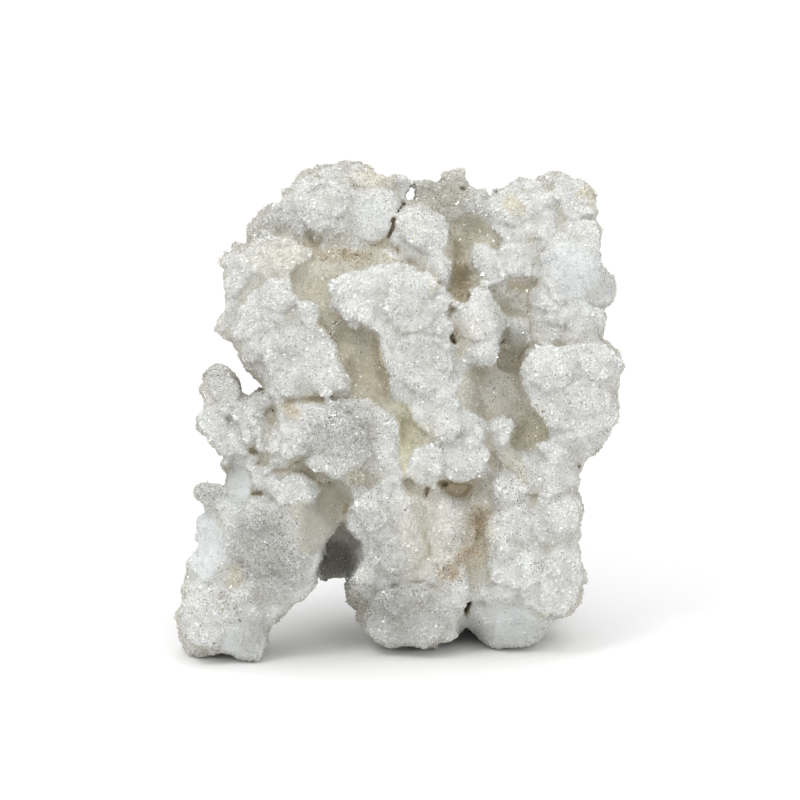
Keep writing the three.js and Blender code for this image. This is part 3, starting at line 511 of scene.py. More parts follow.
# Smooth ground that shows between the masses, in front of the core.
VALLEYS = [
    (17.8, 28, 14.5, 6.5, 12, 7), (17.5, 15, 12, 5, 9, 6), (1.6, 48.5, 12, 4, 9, 6.5),
    (-32, 35, 13, 8, 3.4, 6), (13.5, 36, 15, 4.5, 3.5, 5), (-14, 31, 6, 5, 9, 7),
    (-25, 57, 20.5, 7, 3.4, 6.5), (4, 36.6, 18, 5, 3, 5), (-36, 45, 17, 3.6, 3.2, 5),
    (-17, 37.5, 16.5, 4, 4, 6), (-23, 36.5, 10, 5, 3, 6), (37, 71.4, 15, 9, 3.6, 7),
    (-32.6, 57, 13, 4, 2.6, 5), (17.4, 89, 0, 5, 9, 7), (19, 98, -1, 5, 6, 6),
    (-15, 57.5, 19, 8, 3.2, 6), (30, 84.4, 10.5, 6, 3.4, 6), (12.6, 66, 16, 3.4, 8, 6),
    (-8, 95.5, 7, 12, 4.5, 6),
]
# Lumps that fill the corner behind the thin rim on the right, and deep narrow holes on the front.
FILLERS = [
    (45.2, 83.4, -11.5, 6, 7.5, 8.5), (-35.9, 45.3, 17, 2.6, 2.6, 5), (-32, 54.6, 16, 2.8, 2.8, 5),
    (-41.7, 52.7, 15, 2.4, 2.4, 5), (15.8, 9.4, 9, 2.8, 3.6, 6), (-37.4, 36.6, 14, 2.6, 3, 5),
]
# The edge of the core, which also lies behind every mass that has an outline.
CORE_OUTLINE = [
    (-34.8, 95.5), (-33.1, 99.8), (-28.8, 103.2), (-24, 107.5), (-14.4, 109.9), (-4.8, 108.7),
    (-1, 107.5), (-0.2, 105.1), (1, 103.7), (2.4, 103.9), (4.8, 105.1), (9.6, 107.5),
    (16.8, 106.1), (24, 106.3), (36, 107.5), (44.4, 105.1), (45.6, 95.5), (46.8, 81.1),
    (46.8, 71.5), (48, 57.1), (45.6, 46.3), (40.8, 39.1), (41.3, 18.7), (38.4, 9.1), (33.6, 6.7),
    (16.8, 9.1), (9.6, 4.3), (-7.2, 5.5), (-11.5, 9.6), (-12.7, 14.2), (-13.2, 14.2),
    (-16.6, 14.4), (-19.2, 13.7), (-19.4, 13.2), (-20.2, 11.5), (-21.4, 10.6), (-22.6, 9.6),
    (-24, 8.9), (-25.4, 8.9), (-31.2, 6.7), (-40.8, 9.1), (-45.6, 18.7), (-44.4, 28.3),
    (-39.6, 33.1), (-40.3, 40.3), (-42, 47.5), (-44.4, 54.7), (-39.6, 57.6), (-33.1, 57.6),
    (-30, 56.6), (-33.1, 61.9), (-36, 66.7), (-38.4, 73.9), (-38.4, 85.9), (-37.2, 93.1),
]
# Plates and lobes of the crust that lie on the masses, as ovals on the face with ragged edges:
# x, height, half width, half height, turn, rise.
LOBES = [
    (-6.7, 101.3, 5.5, 5.8, 0, 0.5), (-19.2, 103.7, 6.7, 6, 0, 1.0), (-8.2, 110.9, 4.8, 2.9, -20, 0.9),
    (-21.1, 109.4, 3.4, 1.9, 25, 0.7), (-29.8, 99.8, 6.2, 3.1, 30, 0.6), (-15.4, 98.9, 2.9, 2.4, 0, 0.6),
    (-14.4, 108, 2.9, 2.4, 0, 0.6), (40.8, 88.8, 6.5, 7.2, 0, 1.4), (27.4, 90.7, 4.1, 4.6, 0, 1.0),
    (20.6, 89.3, 3.4, 5.3, 15, 1.0), (26.9, 103.7, 3.6, 4.1, 0, 0.9), (41.3, 105.6, 4.8, 4.8, -20, 1.0),
    (34.8, 82.1, 3.8, 3.4, 0, 1.0), (33.1, 99.8, 3.4, 3.4, 0, 0.8), (36.5, 105.1, 2.4, 2.4, 0, 0.6),
    (20.2, 105.1, 2.4, 2.2, 0, 0.7), (32.2, 109, 3.4, 1.4, 0, 0.7), (44.2, 76.8, 4.8, 4.3, 0, 1.0),
    (35, 73.9, 3.4, 3.4, 0, 0.8), (38.4, 78.2, 2.9, 2.4, 0, 0.7), (28.1, 73.9, 2.6, 3.8, 0, 0.8),
    (-28.8, 89.8, 7, 4.1, 5, 0.9), (-39.1, 87.4, 3.4, 6, 0, 0.7), (-38.9, 75.8, 4.6, 4.8, 0, 0.9),
    (-29.5, 82.1, 4.3, 3.8, 0, 0.9), (-21.8, 77.8, 2.9, 3.1, 0, 0.7), (-23, 65.8, 10.6, 8.2, -30, 1.2),
    (-33.1, 70.6, 4.3, 4.8, 0, 0.9), (-17.8, 61, 5.3, 3.6, -30, 0.8), (-25.9, 71.5, 3.8, 2.9, 0, 0.6),
    (-27.8, 61, 3.8, 3.4, 0, 0.6), (-11, 81.6, 6.7, 5.3, -15, 1.1), (2.9, 80.6, 6.2, 6.7, 0, 0.9),
    (4.8, 66.7, 6.5, 5.8, 0, 1.0), (8.2, 53.3, 6.7, 5.3, -20, 1.0), (15.4, 43.7, 4.6, 4.1, 0, 1.0),
    (5.8, 41.8, 4.3, 4.3, 0, 1.2), (-5.3, 85, 3.4, 2.4, 0, 0.6), (0, 72.5, 3.4, 2.4, 0, 0.6),
    (9.6, 60, 2.9, 2.4, 0, 0.6), (10.6, 73.9, 2.2, 3.4, 0, 0.6), (-0.5, 63.8, 2.2, 3.4, 0, 0.6),
    (17.8, 49.9, 2.2, 2.9, 0, 0.6), (11, 81.1, 1.9, 2.4, 0, 0.5), (4.8, 97.7, 5, 5, 0, 0.8),
    (9.8, 88.6, 2.9, 2.9, 0, 0.7), (18, 77.3, 5.8, 5.3, 0, 0.9), (19.2, 67.7, 4.1, 2.9, 0, 0.8),
    (14.4, 81.1, 2.4, 1.9, 0, 0.5), (36.5, 63.8, 6.7, 5.3, 0, 0.9), (47, 65.3, 5.3, 4.3, 0, 0.9),
    (45.6, 54.2, 5.8, 5.8, 0, 0.9), (35.5, 52.8, 3.4, 3.8, 0, 0.7), (39.8, 46.1, 5.3, 3.4, -10, 0.9),
    (31.7, 63.8, 2.6, 3.8, 0, 0.6), (42.2, 60, 3.4, 2.9, 0, 0.5), (-42.5, 60, 4.1, 5.3, 30, 1.0),
    (-42.7, 49.6, 4.2, 7.4, 42, 1.5), (-34.3, 50.4, 2.9, 5.8, 35, 1.6), (-27.4, 47.5, 3.8, 3.8, 0, 0.8),
    (-32.6, 38.4, 4.8, 2.8, -10, 1.2), (-24.8, 35.8, 5.4, 4.2, -10, 1.5), (-27.6, 42.8, 4.6, 2.9, 20, 1.0),
    (-37, 42.2, 2.9, 2.2, 0, 0.9), (-41.8, 42, 1.4, 1.2, 0, 0.8), (-28.8, 43.9, 2.4, 2.2, 0, 0.7),
    (-31.7, 25, 12, 9.1, 0, 1.4), (-44.6, 34.8, 3.1, 1.9, -20, 1.2), (-42.7, 4.3, 10.1, 9.1, 0, 1.2),
    (-33.1, 28.8, 5.3, 3.4, 0, 0.8), (-24.5, 25.4, 4.3, 5.3, 0, 0.8), (-33.1, 18.7, 5.8, 3.4, 0, 0.7),
    (-44.6, 7.2, 4.8, 3.8, 0, 0.8), (-36.5, -0.5, 4.3, 4.3, 0, 0.9), (-47, 0.5, 4.3, 3.8, 0, 0.7),
    (-38.4, 11.5, 4.8, 2.9, 10, 0.8), (-18.7, 48, 11.5, 8.2, -20, 1.5), (-14.4, 40.3, 3.8, 3.4, 0, 1.0),
    (-12, 49.4, 4.3, 4.3, 0, 0.8), (-24, 49.9, 4.3, 3.4, 0, 0.7), (-3.4, 47, 2.6, 7.7, 5, 0.6),
    (-10.6, 36.5, 2.9, 4.3, 0, 0.9), (-1.9, 36.5, 2.9, 4.3, 0, 0.7), (-19.2, 53.3, 3.4, 2.4, 0, 0.5),
    (-2.6, 27, 6.8, 12.5, 8, 1.5), (-8.6, 28.3, 4.8, 4.1, 0, 1.0), (-8.6, 17.3, 3.1, 4.8, 0, 0.9),
    (1.9, 5.4, 10.5, 7.7, 0, 1.5),
    (1.9, 32.4, 3.6, 6.7, 0, 0.7), (12, 26.9, 6.2, 9.1, 10, 1.1), (-0.2, 19.7, 4.8, 4.8, 0, 0.9),
    (7.2, 15.4, 3.4, 2.9, 0, 0.7), (-2.4, 8.2, 3.8, 2.9, 0, 0.7), (5.8, 4.3, 4.3, 3.8, 0, 0.8),
    (9.1, 32.2, 2.9, 2.9, 0, 0.6), (-3.8, 23.5, 2.4, 2.4, 0, 0.5), (14.4, 11.5, 2.2, 3.4, 0, 0.6),
    (34.1, 40.8, 7.2, 5.8, -20, 1.0), (25.7, 34.1, 4.8, 5.3, 0, 0.9), (26.4, 17.3, 5.5, 4.8, 0, 0.9),
    (39.1, 13.9, 4.6, 7.9, 0, 1.1), (36.7, 28.8, 4.8, 6.2, 0, 0.9), (31.2, 25, 3.4, 3.8, 0, 0.7),
    (23.5, 25.4, 3.4, 3.8, 0, 0.7), (20.6, 38.4, 3.4, 2.9, 0, 0.8), (33.6, 10.1, 3.8, 3.4, 0, 0.7),
    (26.9, 42.2, 2.9, 2.4, 0, 0.6), (32.2, 17.3, 2.9, 2.9, 0, 0.5), (23.5, 10.1, 3.4, 2.4, 0, 0.5),
    (18.4, 59.5, 4.6, 4.2, 0, 1.0), (23.6, 56, 3.6, 3.4, 20, 0.8),
    # Dips between them.
    (-37.7, 48, 1.5, 3.4, 38, -0.9), (-31.4, 51.4, 1.7, 3.6, 0, -1.3), (-37.4, 57.1, 1.7, 2.2, 0, -0.6),
    (-25, 42.2, 3.4, 1.4, 30, -1.2), (-16.8, 37, 3.4, 1.9, 0, -1.0),
    (-21.6, 96, 2.9, 2.2, -30, -1.0), (-13, 90.2, 7.2, 2.2, 0, -0.6), (1.2, 12.5, 7.2, 1, 0, -0.7),
    (-36, 13.9, 9.6, 1, 8, -0.6), (-1.9, 30.2, 1.2, 5.3, 0, -0.6), (28.8, 47, 1.9, 2.4, 0, -0.6),
]
# Smooth ground without crystals, as outlines on the face: stain, its strength, how bare it is, and how
# far it is cut in.
HOLLOWS = [
    (
        "beige", 1.0, 0.55, 0,
        [
            (-25.9, 87.1), (-25, 88.8), (-23.3, 89.8), (-21.6, 90.5), (-21.1, 92.6), (-19.2, 93.4),
            (-13.2, 93.6), (-7.2, 93.4), (-3.6, 92.9), (-1.4, 91.2), (0, 90.2), (-4.8, 90), (-8.4, 89),
            (-12, 88.3), (-14.4, 87.4), (-16.8, 85.9), (-17.8, 83.5), (-16.6, 81.8), (-16.8, 79.9),
            (-16.1, 78.7), (-14.2, 76.8), (-11.5, 73.9), (-7.7, 73.2), (-5.8, 73), (-5.3, 70.3),
            (-4.8, 67.2), (-3.6, 64.3), (-2.9, 62.6), (-3.4, 60.7), (-2.6, 59), (-3.1, 57.1), (-0.5, 57.1),
            (1.7, 55.9), (3.1, 52.3), (4.3, 49.9), (2.9, 45.4), (1.2, 38.4), (0.2, 40.3), (0.2, 47.5),
            (-0.5, 52.3), (-3.6, 54.2), (-7.2, 57.1), (-11.5, 57.6), (-11.5, 61.9), (-13.9, 65.3),
            (-15.1, 67.2), (-15.1, 70.3), (-18, 74.2), (-20.2, 74.9), (-19, 77.5), (-19.9, 80.2),
            (-21.6, 81.1), (-24, 80.9), (-25.7, 83.5),
        ],
    ),
    (
        "beige", 1.0, 0.45, 0,
        [
            (12, 98.4), (13.2, 100.3), (16.8, 101.8), (21.1, 100.3), (21.1, 98.4), (22.8, 97), (24, 95.5),
            (23.3, 93.4), (20.6, 94.6), (17.8, 94.6), (16.8, 93.1), (16.8, 91.2), (17.3, 88.8),
            (18.7, 86.4), (19.2, 84.5), (16.1, 83.8), (16.8, 81.1), (15.4, 80.4), (13.4, 81.4), (12, 83.3),
            (12.5, 85.9), (13.2, 90.2), (10.6, 91.9),
        ],
    ),
    # painted shade down a deep, narrow recess
    (
        "olive", 0.9, 0.6, 2.0,
        [
            (13.2, 95.5), (14.6, 94.1), (14.9, 90.2), (16.3, 87.4), (16.1, 83.8), (16.8, 81.1),
            (15.4, 80.4), (13.4, 81.4), (12, 83.3), (12.5, 85.9), (13.2, 90.2),
        ],
    ),
    (
        "beige", 0.65, 0.25, 0,
        [
            (24, 68.6), (23.3, 66.7), (23, 65.3), (21.1, 64.6), (15.8, 64.3), (14.6, 61), (13.2, 57.8),
            (14.6, 56.4), (15.8, 55), (19.7, 52.8), (21.1, 52.3), (24, 53.3), (26.9, 52.3), (27.6, 50.9),
            (26.6, 47.5), (23.5, 44.6), (24.5, 42.2), (24, 40.8), (26.4, 40.8), (28.8, 37), (30.5, 36),
            (31.2, 37.4), (30.2, 40.3), (28.6, 45.1), (31.7, 47.3), (35.8, 47.5), (35.8, 49.9),
            (33.1, 53.8), (30, 57.1), (29, 61), (28.6, 64.8), (31, 68.4), (28.8, 67.4), (26.4, 68.2),
        ],
    ),
    # painted shade in a narrow recess
    (
        "olive", 0.5, 0.5, 0.8,
        [
            (24.7, 69.6), (27.1, 68.6), (29.3, 67.7), (28.6, 64.8), (29, 61), (30.2, 57.1), (28.8, 58.1),
            (27.1, 61), (26.9, 63.4), (24, 64.3), (23.3, 66.2),
        ],
    ),
    # painted shade in a narrow recess
    (
        "olive", 0.1, 0.5, 0.6,
        [
            (30.7, 54.7), (33.1, 53.8), (35.8, 49.9), (35.5, 48), (31.7, 47.3), (28.6, 45.1), (27.4, 46.6),
            (29.3, 50.4),
        ],
    ),
    # painted shade in a deep, narrow pocket
    (
        "olive", 0.8, 0.7, 0.8,
        [
            (25.9, 85.7), (26.9, 86.2), (28.3, 85.7), (30.7, 85.2), (33.1, 85.9), (32.6, 84.7),
            (30.7, 83.5), (29.3, 83), (27.8, 83.8), (26.6, 82.8), (25.7, 83.5),
        ],
    ),
    (
        "tan", 0.9, 0.9, 2.0,
        [
            (9.6, 37.4), (11.3, 38), (12.7, 37.2), (16.8, 37.4), (17.8, 36.2), (16.3, 34.8), (15.1, 33.6),
            (12.7, 33.8), (11, 35.3),
        ],
    ),
    (
        "fawn", 0.9, 0.9, 0,
        [
            (-26.6, 30.7), (-25.4, 31.9), (-24.7, 33.4), (-23.3, 33.1), (-22.1, 32.2), (-20.9, 32.2),
            (-19.9, 33.6), (-19, 35.5), (-16.8, 38.4), (-14.2, 37.9), (-11.8, 35), (-11.5, 32.6),
            (-14.2, 32.4), (-14.2, 29.5), (-14.9, 27.1), (-17.5, 23.5), (-18.7, 19.9), (-19, 22.3),
            (-21.1, 19.7), (-24, 20.6), (-25.9, 23.5), (-24, 27.4), (-26.4, 28.3),
        ],
    ),
    (
        "green", 0.7, 0.55, 0,
        [
            (-0.2, 56.6), (1.7, 55.9), (3.1, 52.3), (7.2, 47.5), (5.3, 46.3), (2.9, 45.4), (2.2, 43.9),
            (2.2, 40.3), (1.2, 38.4), (0, 43.9), (0.2, 47.5), (0, 51.1),
        ],
    ),
    # painted shadow at the back of the gap between the left and the middle leg
    (
        "gap_shadow", 0.6, 0.85, 0,
        [
            (-20.2, 15.8), (-18.7, 20.4), (-17.5, 23.3), (-16.1, 25), (-14.6, 26.9), (-13.9, 29.3),
            (-13.2, 28.1), (-12.7, 26.2), (-11.3, 24.5), (-9.4, 23.3), (-8.9, 19.4), (-11.3, 16.1),
            (-13, 13.7), (-16.6, 13.9), (-19.2, 13),
        ],
    ),
]
# Bare, smooth and bluish parts, where crystals are few: x, height, half width, half height, how bare.
BARE = [
    (42.2, 88.6, 6.4, 7.2, 0.6),
    (47.6, 84, 4, 5, 0.4),
    (-38.6, 36.4, 3.2, 5, 0.9),
    (-47.2, 23, 5.4, 8.6, 0.75),
    (-37, -0.6, 5.4, 5, 0.7),
    (25, 2.6, 11, 5.4, 0.6),
    (-6.2, 101.4, 4.4, 6.4, 0.3),
]
# Dark holes and cracks: a path over the face, half its width, and how far in it goes.
CRACKS = [
    ([(1.0, 104.2), (-0.2, 102.2), (-0.6, 101.4)], 0.42, 4),
    ([(-1.4, 100), (-1.7, 99.2), (-1.4, 98.4), (-2.0, 97.2), (-2.6, 95.8)], 0.4, 3),
    ([(12.2, 72.4), (12.0, 71.4), (12.8, 70.6)], 0.5, 5),
    ([(-23.0, 98.0), (-21.4, 95.6), (-20.2, 93.6)], 0.4, 1),
    ([(-0.6, 92.2), (0.4, 90.8), (1.0, 89.2)], 0.4, 1.5),
    ([(9.8, 37.4), (10.8, 37.2)], 0.5, 2.5),
    ([(13.4, 82.4), (14.8, 81.0), (16.0, 81.6)], 0.7, 2.5),
    ([(3.0, 108.4), (2.8, 107.0), (2.4, 105.9)], 0.9, 40),
]


def smooth_min(a, b, width):
    """The nearer of two distances, with a fillet of that width where they meet."""
    share = np.maximum(width - np.abs(a - b), 0) / width
    return np.minimum(a, b) - share * share * (width / 4)


def smooth_max(a, b, width):
    return -smooth_min(-a, -b, width)


def smooth_step(low, high, value):
    t = np.clip((value - low) / (high - low), 0, 1)
    return t * t * (3 - 2 * t)


def lattice_weights(count, spacing, points):
    """Cubic B-spline weights that spread a lattice of random numbers along one axis of the grid."""
    place = np.arange(count, dtype=np.float32) * (STEP / spacing) + 1
    base = np.floor(place).astype(int)
    t = place - base
    weights = np.zeros((count, points), np.float32)
    rows = np.arange(count)
    shares = ((1 - t) ** 3, 3 * t**3 - 6 * t**2 + 4, -3 * t**3 + 3 * t**2 + 3 * t + 1, t**3)
    for offset, share in zip((-1, 0, 1, 2), shares):
        weights[rows, base + offset] += share / 6
    return weights


def noise_field(spacing, seed):
    """Smooth noise on the whole grid, mostly between -1 and 1, with lumps about that far apart."""
    points = [int(n * STEP / spacing) + 5 for n in SHAPE]
    values = np.random.default_rng(seed).standard_normal(points).astype(np.float32)
    for count, lattice in zip(SHAPE, points):
        values = np.tensordot(values, lattice_weights(count, spacing, lattice), axes=(0, 1))
    return values * NOISE_GAIN


def layered_noise(layers, folded=False):
    """Layers of noise added up, each by its strength, spacing and seed. Folded noise has ridges."""
    fields = [noise_field(spacing, seed) for _, spacing, seed in layers]
    return sum(layer[0] * (np.abs(field) if folded else field) for layer, field in zip(layers, fields))


def add_lump(field, lump, width, sign=1, far=FAR):
    """Adds one ellipsoid to a field of distances, or with sign -1 cuts it out."""
    centre, radii = np.array(lump[:3]), np.array(lump[3:6])
    turn = math.radians(lump[6]) if len(lump) > 6 else 0.0
    reach = np.broadcast_to(radii.max() + far if turn else radii + far, 3)
    first = [max(0, int((c - r - low) / STEP)) for c, r, low in zip(centre, reach, LOW)]
    last = [min(n, int((c + r - low) / STEP) + 2) for c, r, low, n in zip(centre, reach, LOW, SHAPE)]
    window = tuple(slice(a, b) for a, b in zip(first, last))
    x = (AXES[0][window[0]] - centre[0])[:, None, None]
    h = (AXES[1][window[1]] - centre[1])[None, :, None]
    w = (AXES[2][window[2]] - centre[2])[None, None, :]
    if turn:
        x, h = x * math.cos(turn) + h * math.sin(turn), h * math.cos(turn) - x * math.sin(turn)
    near = np.sqrt((x / radii[0]) ** 2 + (h / radii[1]) ** 2 + (w / radii[2]) ** 2) + 1e-6
    slope = np.sqrt((x / radii[0] ** 2) ** 2 + (h / radii[1] ** 2) ** 2 + (w / radii[2] ** 2) ** 2)
    distance = near * (near - 1) / (slope + 1e-6)
    if sign > 0:
        field[window] = smooth_min(field[window], distance, width)
    else:
        field[window] = smooth_max(field[window], -distance, width)


def add_buds(field, random):
    """Small round buds all over a mass, as cauliflower has them, with sharp creases between."""
    for radius, apart, sunk in BUDS:
        shell = np.argwhere(np.abs(field + sunk * radius) < STEP / 2)
        if not len(shell):
            continue
        random.shuffle(shell)
        centres = shell[:BUD_TRIES] * STEP + np.array(LOW)
        kept = np.empty((0, 3))
        for centre in centres:
            if not len(kept) or ((kept - centre) ** 2).sum(1).min() > apart**2:
                kept = np.vstack([kept, centre])
        for centre in kept:
            size = radius * random.uniform(*BUD_SIZES, 3)
            add_lump(field, (*centre, *size), BUD_BLEND, far=BUD_FAR)


def outline_map(outline):
    """Distance to an outline on the face, below zero inside it, and the map's lower corner."""
    points = np.array(outline, np.float32)
    low = points.min(0) - FAR
    counts = ((points.max(0) + FAR - low) / MAP_STEP).astype(int) + 2
    x = low[0] + MAP_STEP * np.arange(counts[0], dtype=np.float32)[:, None]
    h = low[1] + MAP_STEP * np.arange(counts[1], dtype=np.float32)[None, :]
    nearest = np.full(counts, 1e9, np.float32)
    inside = np.zeros(counts, bool)
    for a, b in zip(points, np.roll(points, -1, 0)):
        along = b - a
        t = np.clip(((x - a[0]) * along[0] + (h - a[1]) * along[1]) / (along @ along), 0, 1)
        nearest = np.minimum(nearest, (x - a[0] - t * along[0]) ** 2 + (h - a[1] - t * along[1]) ** 2)
        if a[1] != b[1]:
            crosses = ((h >= a[1]) != (h >= b[1])) & (x < a[0] + (h - a[1]) * along[0] / along[1])
            inside ^= crosses
    return np.sqrt(nearest) * np.where(inside, -1, 1), low


def read_map(chart, x, h):
    """A map's values at places on the face."""
    flat, low = chart
    place = [np.clip((at - low[i]) / MAP_STEP, 0, flat.shape[i] - 1.001) for i, at in enumerate((x, h))]
    i, j = place[0].astype(int), place[1].astype(int)
    tx, th = place[0] - i, place[1] - j
    near = flat[i, j] * (1 - tx) + flat[i + 1, j] * tx
    return near * (1 - th) + (flat[i, j + 1] * (1 - tx) + flat[i + 1, j + 1] * tx) * th


def seen_from_front(x, h, depth):
    """Where places at some depth are seen on the face, from a point straight before it."""
    scale = 1 + depth / VIEW_DISTANCE
    return x * scale, EYE_LEVEL + (h - EYE_LEVEL) * scale


def outline_field(outline):
    """An outline's distance on the whole grid, as it looks from the front."""
    chart = outline_map(outline)
    layers = [read_map(chart, *seen_from_front(*COLUMNS, depth)) for depth in AXES[2]]
    return np.stack(layers, 2).astype(np.float32)


def column_of(points):
    """The column of the grid that each point lies in."""
    place = ((points[:, :2] - np.array(LOW[:2])) / STEP).astype(int)
    return tuple(np.clip(place, 0, np.array(SHAPE[:2]) - 1).T)


def spread(values, reach, pick):
    """Each value replaced by the highest or the lowest within reach grid points of it."""
    out = values
    for i in range(-reach, reach + 1):
        for j in range(-reach, reach + 1):
            if i * i + j * j <= reach * reach:
                out = pick(out, np.roll(values, (i, j), (0, 1)))
    return out


def oval(x, h, spot, turn=0.0):
    """How far out in an oval each point lies: 0 at its middle, 1 on its edge."""
    u, v = x - spot[0], h - spot[1]
    a = math.radians(turn)
    u, v = u * math.cos(a) + v * math.sin(a), v * math.cos(a) - u * math.sin(a)
    return np.sqrt((u / spot[2]) ** 2 + (v / spot[3]) ** 2)


def front_depth(field):
    """How far the mass reaches forward at each place on the face."""
    solid = field < 0
    last = solid.shape[2] - 2 - np.argmax(solid[:, :, -2::-1], axis=2)
    at = np.take_along_axis(field, last[:, :, None], 2)[:, :, 0]
    ahead = np.take_along_axis(field, last[:, :, None] + 1, 2)[:, :, 0]
    between = np.clip(at / np.minimum(at - ahead, -1e-6), 0, 1) * STEP
    return np.where(solid[:, :, :-1].any(2), AXES[2][last] + between, LOW[2]).astype(np.float32)


def box_blur(values, radius):
    """Each value averaged with its neighbours up to radius grid points away, twice over."""
    for axis in range(values.ndim):
        for _ in range(2):
            pad = [(radius + 1, radius) if i == axis else (0, 0) for i in range(values.ndim)]
            total = np.cumsum(np.pad(values, pad, mode="edge"), axis=axis, dtype=np.float64)
            n = values.shape[axis]
            high = np.take(total, np.arange(2 * radius + 1, 2 * radius + 1 + n), axis=axis)
            low = np.take(total, np.arange(0, n), axis=axis)
            values = ((high - low) / (2 * radius + 1)).astype(np.float32)
    return values


def blurred_within(values, inside, radius):
    """A map blurred without what lies outside."""
    inside = inside.astype(np.float32)
    return box_blur(values * inside, radius) / np.maximum(box_blur(inside, radius), 1e-3)


def hidden(points, field):
    """Which points lie well behind the front of the mass."""
    return spread(front_depth(field), 2, np.maximum)[column_of(points)] - points[:, 2] > HIDDEN


def grow_masses(ragged, relief, random):
    """The masses, the ground under them and the outline round all of them, as distances."""
    mass = np.full(SHAPE, FAR, np.float32)
    ground = np.full(SHAPE, FAR, np.float32)
    reach = outline_field(CORE_OUTLINE)
    for part in MASSES.values():
        grown = np.full(SHAPE, FAR, np.float32)
        for lump in part["lumps"]:
            add_lump(grown, lump, BLEND)
        ground = smooth_min(ground, grown, CORE_BLEND)
        rough = part.get("relief", 1.0)
        if rough > BUDDED:
            add_buds(grown, random)
        grown -= relief * rough
        if "outline" in part:
            outline = outline_field(part["outline"])
            reach = np.minimum(reach, outline)
            grown = smooth_max(grown - part.get("grow", GROW), outline - SPARE + ragged, RIM)
        mass = smooth_min(mass, grown, JOIN)
    return mass, ground, reach


def grow_core(ground, limit, relief, random):
    """The core behind the masses, cut by the outline and rounded off at the back."""
    core = ground + SUNK
    for lump in CORE_LUMPS + VALLEYS:
        add_lump(core, lump, CORE_BLEND)
    add_buds(core, random)
    core = smooth_max(core - CORE_RELIEF * relief, limit, RIM)
    return smooth_max(core, REAR - DEPTHS - REAR_RELIEF * relief, REAR_RIM)


def fill_creases(mass, limit):
    """The mass with the narrow creases between its parts grown nearly shut."""
    front = front_depth(mass)
    filled = spread(spread(front, CREASE_REACH, np.maximum), CREASE_REACH, np.minimum) - CREASE
    filled[(front <= LOW[2]) | (filled - front > CREASE_DEPTH)] = LOW[2] - FAR
    crease = CREASE_SLOPE * (DEPTHS - filled[:, :, None])
    crease = np.maximum(crease, CREASE_SLOPE * (front[:, :, None] - CREASE - DEPTHS))
    return smooth_min(mass, smooth_max(crease, limit, RIM), JOIN)


def near_front(front):
    """How near the front each place of the grid lies: 1 there, 0 well behind it."""
    return smooth_step(NEAR[1], NEAR[0], front[:, :, None] - DEPTHS)


def raise_lobes(mass, front, x, h, wavy):
    """Raises plates and lobes on the masses."""
    edge, dome = LOBE_DOME
    raised = np.zeros(SHAPE[:2], np.float32)
    for x0, h0, half_x, half_h, turn, rise in LOBES:
        out = (oval(x, h, (x0, h0, half_x, half_h), turn) - 1) * min(half_x, half_h) + wavy
        height = LOBE_RISE * rise * smooth_step(LOBE_EDGE, -LOBE_EDGE, out)
        raised += height * (edge + (1 - edge) * smooth_step(0, -dome, out))
    mass -= raised[:, :, None] * near_front(front)


def smooth_patches(mass, x, h, wavy):
    """Smooths the bare parts and the hollows, and cuts the hollows in."""
    front = front_depth(mass)
    near = near_front(front)
    ovals = [oval(x, h, spot) + BARE_WAVES * wavy for spot in BARE]
    patches = [(smooth_step(*BARE_OVAL, out), 0, BARE_BLUR) for out in ovals]
    for *_, cut, outline in HOLLOWS:
        distance = read_map(outline_map(outline), x, h) + HOLLOW_WAVES * wavy
        patches.append((smooth_step(PATCH_EDGE, -PATCH_EDGE, distance), cut, HOLLOW_BLUR))
    for inside, cut, radius in patches:
        level = blurred_within(front, (inside > 0.5) & (front > LOW[2]), radius) - cut
        smooth = PATCH_SLOPE * (DEPTHS - level[:, :, None])
        share = np.where(front > np.maximum(level - PATCH_DEPTH, LOW[2]), PATCH_SHARE * inside, 0)
        mass += (smooth - mass) * share[:, :, None] * near


def cut_cracks(mass, random):
    """Cuts the dark holes and cracks."""
    front = front_depth(mass)
    for path, half_width, deep in CRACKS:
        for start, end in zip(path, path[1:]):
            for t in (0, 0.25, 0.5, 0.75, 1):
                x, h = start[0] + (end[0] - start[0]) * t, start[1] + (end[1] - start[1]) * t
                ahead = front[int((x - LOW[0]) / STEP), int((h - LOW[1]) / STEP)]
                wide = half_width * random.uniform(*CRACK_WIDTHS)
                add_lump(mass, (x, h, ahead, wide, wide, deep), CRACK_EDGE, -1)


def grow_mass():
    """The whole mass as distances on the grid, in millimetres, below zero inside."""
    random = np.random.default_rng(MASS_SEED)
    floor = AXES[1][None, :, None] * math.cos(LEAN) + DEPTHS * math.sin(LEAN)
    ragged = layered_noise(RAGGED)
    ragged *= smooth_step(0, FOOT, floor)
    relief = layered_noise(RELIEF, folded=True)
    relief += layered_noise(FINE_RELIEF, folded=True) - RELIEF_LEVEL

    mass, ground, reach = grow_masses(ragged, relief, random)
    limit = reach - SPARE + ragged
    mass = smooth_min(mass, grow_core(ground, limit, relief, random), JOIN)
    for lump in FILLERS:
        add_lump(mass, lump, CORE_BLEND)
    mass = fill_creases(mass, limit)

    front = front_depth(mass)
    x, h = seen_from_front(*COLUMNS, front)
    wavy = layered_noise(WAVY)[:, :, SHAPE[2] // 2]
    raise_lobes(mass, front, x, h, wavy)
    smooth_patches(mass, x, h, wavy)
    mass = smooth_max(mass, reach - SPARE + TRIM_RAGGED * ragged, RIM)
    cut_cracks(mass, random)
    mass[:, :, 0] = np.maximum(mass[:, :, 0], STEP)  # closed at the back of the grid
    return np.maximum(mass, -floor)


